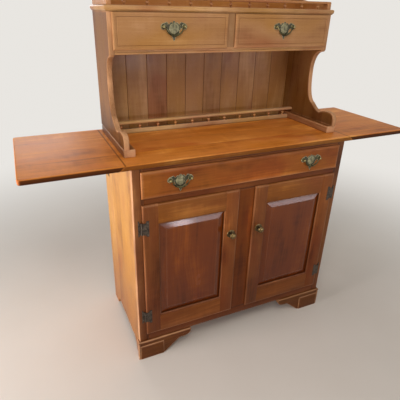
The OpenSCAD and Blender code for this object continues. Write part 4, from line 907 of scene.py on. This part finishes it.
lo, hi = corners_of("top_gallery_boards")
board_thick, low, end_h, crest_h, half = 0.016, 0.028, 0.060, hi[2] - lo[2], hi[0]
front, crest_y = lo[1], hi[1] - board_thick
outline = np.concatenate([
    [(crest_y, 0), (front, 0)], arc((front + 0.006, low - 0.006), 0.006, 180, 90, 5),
    bend((front + 0.100, low), (crest_y - 0.040, low + 0.002), (crest_y - 0.012, end_h - 0.008)),
    [(crest_y, end_h)]]) + (0, lo[2])
shells = [stacked(outline, eased(x, x + board_thick, 0.0015), "x") for x in (-half, half - board_thick)]
half_crest = np.concatenate([
    bend((half, end_h - 0.006), (half, end_h), (half - 0.010, end_h), 4),
    bend((half * 0.62, end_h), (half * 0.5, end_h), (half * 0.42, crest_h - 0.008)),
    bend((half * 0.38, crest_h - 0.006), (half * 0.3, crest_h), (0, crest_h), 8)])
outline = np.concatenate([[(-half, 0), (half, 0)], half_crest, half_crest[-2::-1] * (-1, 1)])
shells.append(stacked(outline + (0, lo[2]), eased(crest_y, hi[1], 0.0015), "y"))
piece("gallery_boards", shells, crest_maple, "top_gallery_boards")

# Drawer boxes and runners
# Poplar left bare inside, as it is in such pieces: pale, dry, and a little soiled by hands.
# The boxes are nailed up square, and the runners are strips fixed inside the case.

bare_poplar = maple("bare_poplar", "y", 101, "#b08c5c", "#cbac7d", "#dcc397", sheen=0.62, figure=0.7)


def refinished(finish, *nodes):
    """CAD nodes that keep their shape get a finish of their own."""
    for node in nodes:
        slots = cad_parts[node].data.materials
        slots.clear()
        slots.append(finish)


refinished(bare_poplar, "base_drawer_box", "hutch_left_drawer_box", "hutch_right_drawer_box",
           "drawer_runners")

# Pulls
# Each pull is a winged plate of cast brass with two turned posts, and a bail that swings in
# them. The brass has gone olive, darker in its hollows and bright where fingers rub it.

line_pitch = 0.0058


def metal(name, bright, dull, dark, rough, engraved=False, scale=1.0, solid=0.85):
    """Old metal on Object coordinates: clouds of tarnish over the base, and pits in the bump.

    The edge attribute brightens what stands proud and darkens what lies deep. Engraved plates have
    upright lines, the root of a sine's size. solid is the share that shines as bare metal.
    """
    old, tree = blank_finish(name)
    calc = calculator(tree)
    place = add(tree, "TexCoord").outputs["Object"]
    cloud = add(tree, "TexNoise", ("Vector", place), ("Scale", 95.0 * scale), ("Detail", 5.0),
                ("Roughness", 0.62)).outputs[0]
    pits = add(tree, "TexNoise", ("Vector", place), ("Scale", 900.0), ("Detail", 2.0)).outputs[0]
    edge = add(tree, "Attribute", attribute_name="edge").outputs["Fac"]
    tone = calc("MULTIPLY_ADD", edge, 0.22, cloud)
    height = calc("MULTIPLY_ADD", cloud, 0.5, calc("MULTIPLY", pits, 0.25))
    if engraved:
        side = add(tree, "SeparateXYZ", (0, place)).outputs[0]
        wave = calc("ABSOLUTE", calc("SINE", calc("MULTIPLY", side, math.pi / line_pitch)))
        cut = calc("POWER", wave, 0.5)
        tone = calc("ADD", tone, calc("MULTIPLY_ADD", cut, 0.24, -0.18))
        height = calc("ADD", height, cut)
    tarnish = toned(tree, tone, [(0.34, dark), (0.56, dull), (0.78, bright)])
    bump = add(tree, "Bump", ("Strength", 0.5), ("Distance", 0.0004), ("Height", height))
    shine = calc("MULTIPLY_ADD", calc("MAXIMUM", edge, 0.0), -0.16,
                 calc("MULTIPLY_ADD", cloud, 0.34, rough - 0.12))
    body = add(tree, "BsdfPrincipled", ("Base Color", tarnish), ("Metallic", solid),
               ("Roughness", shine), ("Normal", bump.outputs[0]))
    add(tree, "OutputMaterial", ("Surface", body.outputs[0]))
    return old


brass = metal("aged_brass", "#90865c", "#565134", "#272413", 0.34)
plate_brass = metal("plate_brass", "#aaa582", "#858160", "#3a3622", 0.42, engraved=True, solid=0.3)


def faced(profile, n=24):
    """Round shell about Y at the origin: a profile (radius, y, edge) in n equal steps of a turn."""
    points, faces, edge = turned((0, 0, 0), profile, n)
    return points[:, [0, 2, 1]], faces, edge


def tube(path, radii, n, edge):
    """Round shell along a path in X and Z: each ring is square to the path, with two radii.

    The first radius lies in the path's plane, and the second along Y.
    """
    way = np.gradient(path, axis=0)
    way /= np.linalg.norm(way, axis=1)[:, None]
    off = np.column_stack([way[:, 1], -way[:, 0]])
    a = np.linspace(0, 2 * np.pi, n, endpoint=False)
    flat = path[:, None, :] + radii[:, :1, None] * np.cos(a)[None, :, None] * off[:, None, :]
    rings = np.stack([flat[:, :, 0], radii[:, 1:] * np.sin(a), flat[:, :, 1]], 2)
    points, faces = skin(list(rings))
    return points, faces, np.full(len(points), edge)


def moved(shell, place):
    """The shell moved to a place."""
    return shell[0] + np.asarray(place), shell[1], shell[2]


def mirrored(right_half):
    """Outline of a right half from crest to tail, in millimetres, and of its mirror image."""
    return np.concatenate([right_half, right_half[-2:0:-1] * (-1, 1)]) / 1000


# The plate's half outline has a crest, a scroll, a round wing behind the post, a lobe and a tail.
plate_loop = mirrored(np.concatenate([
    bend((0, 18), (4.5, 18), (5.5, 11), 5), bend((5.5, 11), (9, 17), (15, 12), 6)[1:],
    bend((15, 12), (17, 7), (20, 9), 4)[1:], bend((20, 9), (25, 18), (31, 13), 6)[1:],
    arc((36, 2), 9.5, 66, -120, 12), bend((26, -6), (23, -10), (20, -13), 5),
    bend((20, -13), (21, -23), (13, -25), 6)[1:], bend((13, -25), (9, -29), (5.5, -34), 5)[1:],
    bend((5.5, -34), (3, -43), (0, -46), 5)[1:]]))
plate_steps = [(0, 0.0003, -1), (-0.0007, 0, -0.3), (-0.0013, 0.0004, 0.8), (-0.0014, 0.0009, 1),
               (-0.0012, 0.0013, 0), (-0.0008, 0.0018, -1), (-0.0008, 0.0024, -0.9)]
shield_loop = mirrored(np.concatenate([
    bend((0, 14), (3.5, 14), (4.5, 8), 5), bend((4.5, 8), (9, 13), (13, 6), 6)[1:],
    bend((13, 6), (18, 2), (17, -6), 6)[1:], bend((17, -6), (16, -17), (8, -20), 6)[1:],
    bend((8, -20), (3, -22), (0, -25), 4)[1:]]))
shield_steps = [(-0.0006, 0, -1), (-0.0011, 0.0001, -0.8), (-0.0018, 0.0005, 0.2),
                (-0.0022, 0.0013, 0.5), (-0.0024, 0.0024, 0.1)]
boss_profile = [(0.0098, -0.0006, -1), (0.0096, -0.0012, 0.2), (0.0088, -0.0017, 0.9),
                (0.0078, -0.0015, -0.2), (0.0070, -0.0012, -1)]
post_profile = [(0.0062, -0.0008, -0.6), (0.0062, -0.0022, 0.7), (0.0052, -0.0030, 0.2),
                (0.0036, -0.0038, -0.6), (0.0032, -0.0050, -0.5), (0.0034, -0.0060, 0),
                (0.0046, -0.0070, 0.6), (0.0047, -0.0110, 0.8), (0.0043, -0.0123, 1),
                (0.0032, -0.0131, 1), (0.0015, -0.0135, 1)]
post_x, post_under_crest, plate_half, bail_y = 0.038, 0.018, 0.0475, -0.009
bail_arm, bail_low, bail_r, pin_r = 0.030, 0.027, 0.0021, 0.0016
# The bail is half an ellipse drawn in at its foot, and thickens towards the middle of its grip.
a = np.radians(np.linspace(0, 180, 41))
bail_path = np.column_stack([-bail_arm * np.cos(a) * (1 - 0.10 * np.sin(a) ** 2),
                             -bail_low * np.sin(a) ** 0.8])
bail_radii = bail_r + np.outer(np.sin(a) ** 3, (0.0016, 0.0004))
handle = [tube(bail_path, bail_radii, 14, -0.1)]
for s in (-1, 1):
    pin_path = np.column_stack([s * (bail_arm + np.array([0, 0.0045, 0.009])), np.zeros(3)])
    handle.append(tube(pin_path, np.full((3, 2), pin_r), 10, 0))
for group, body, node, spots in (
        ("base", "base_drawer", "base_drawer_pulls", (("base_left", -1), ("base_right", 1))),
        ("hutch_left", "hutch_drawer_left", "hutch_left_pull", (("hutch_left", 0),)),
        ("hutch_right", "hutch_drawer_right", "hutch_right_pull", (("hutch_right", 0),))):
    lo, hi = corners_of(node)
    plates, posts = [], []
    for name, s in spots:
        x = (lo[0] + hi[0]) / 2 + s * ((hi[0] - lo[0]) / 2 - plate_half)
        at = np.array([x, hi[1], hi[2] - post_under_crest])
        plates += [moved(stacked(plate_loop, plate_steps, "y"), at),
                   moved(stacked(shield_loop, shield_steps, "y"), at)]
        for side_x in (-post_x, post_x):
            plates.append(moved(faced(boss_profile), at + (side_x, 0, 0)))
            posts.append(moved(faced(post_profile), at + (side_x, 0, 0)))
        piece(f"{name}_handle", [moved(shell, at + (0, bail_y, 0)) for shell in handle], brass,
              f"{name}_bail", f"{name}_bail", sharp=60)
    piece(f"{group}_pull_plates", plates, plate_brass, None, body, sharp=30)
    piece(f"{group}_pull_posts", posts, brass, node, body, sharp=60)

# Knobs
# A turned brass knob on each door, screwed through the stile, with a dished rose behind it and
# a ring round its head. Its brass is browner than that of the pulls.

knob_brass = metal("knob_brass", "#857048", "#544329", "#261d11", 0.36)
# Radius, distance from the door, and wear, from the rose's back to the knob's face.
knob_rows = [(0.0170, 0, 0), (0.0170, 0.0008, 0.6), (0.0160, 0.0016, 0.8), (0.0125, 0.0019, -0.3),
             (0.0105, 0.0028, 0.5), (0.0085, 0.0034, 0.2), (0.0062, 0.0036, -0.8),
             (0.0050, 0.0052, -0.7), (0.0047, 0.0080, -0.3), (0.0052, 0.0104, 0),
             (0.0078, 0.0128, 0.1), (0.0108, 0.0152, 0.4), (0.0126, 0.0176, 0.8),
             (0.0130, 0.0192, 0.9), (0.0127, 0.0208, 0.9), (0.0117, 0.0228, 0.7),
             (0.0110, 0.0233, -0.5), (0.0098, 0.0238, 0.4), (0.0074, 0.0252, 0.9),
             (0.0045, 0.0264, 1), (0.0018, 0.0269, 1)]
knob = faced([(r, -out, e) for r, out, e in knob_rows], 36)
for hand in ("left", "right"):
    lo, hi = corners_of(f"door_{hand}_knob")
    centre = ((lo[0] + hi[0]) / 2, hi[1], (lo[2] + hi[2]) / 2)
    piece(f"door_{hand}_handle", [moved(knob, centre)], knob_brass, f"door_{hand}_knob",
          f"door_{hand}", sharp=60)

# Hinges and ironwork
# Blackened bronze surface hinges are screwed to the doors and the frame. The leaf hinges, the
# folding braces and the catches are plain steel and brass, dulled in the same way.

bronze = metal("dark_bronze", "#6e6153", "#50463c", "#2d2621", 0.46, scale=1.4, solid=0.6)
refinished(bronze, "frame_hinge_wings", "door_hinge_pins", "door_left_hinge_wings",
           "door_right_hinge_wings", "leaf_hinge_plates", "leaf_left_fittings",
           "leaf_right_fittings", "brace_wall_plates", "brace_lower_left", "brace_lower_right",
           "brace_upper_left", "brace_upper_right", "door_catches")

wing_thick, wing_half, pin_in = 0.0015, 0.031, 0.012
screw_head = faced([(0.0026, 0.0002, -0.8), (0.0026, 0, -0.5), (0.0024, -0.0003, 0.4),
                    (0.0018, -0.0005, 0.6), (0.0008, -0.0006, 0.6)], 18)
screw_slot = stacked(((-0.0020, -0.0003), (0.0020, 0.0003), 0.0001),
                     [(-0.0002, 0, -1), (-0.00058, 0, -1)], "y")
wings_lo, wings_hi = corners_of("frame_hinge_wings")
for hand, s in (("left", -1), ("right", 1)):
    # Screws on each wing, at a distance (along X, along Z) from the middle of the pin.
    for wing, body, plate_y, spots in (
            ("frame", "case", wings_hi[1] - wing_thick, [(0.0075, -0.017), (0.0075, 0.017)]),
            ("door", f"door_{hand}", doors[0][0][1] - wing_thick,
             [(-0.0145, 0), (-0.0215, -0.0245), (-0.0215, 0.0245)])):
        shells = []
        for z in (wings_lo[2] + wing_half, wings_hi[2] - wing_half):
            for u, v in spots:
                at = (s * (wings_hi[0] - pin_in + u), plate_y, z + v)
                shells += [moved(screw_head, at), moved(screw_slot, at)]
        piece(f"hinge_screws_{hand}_{wing}", shells, bronze, None, body, sharp=50)
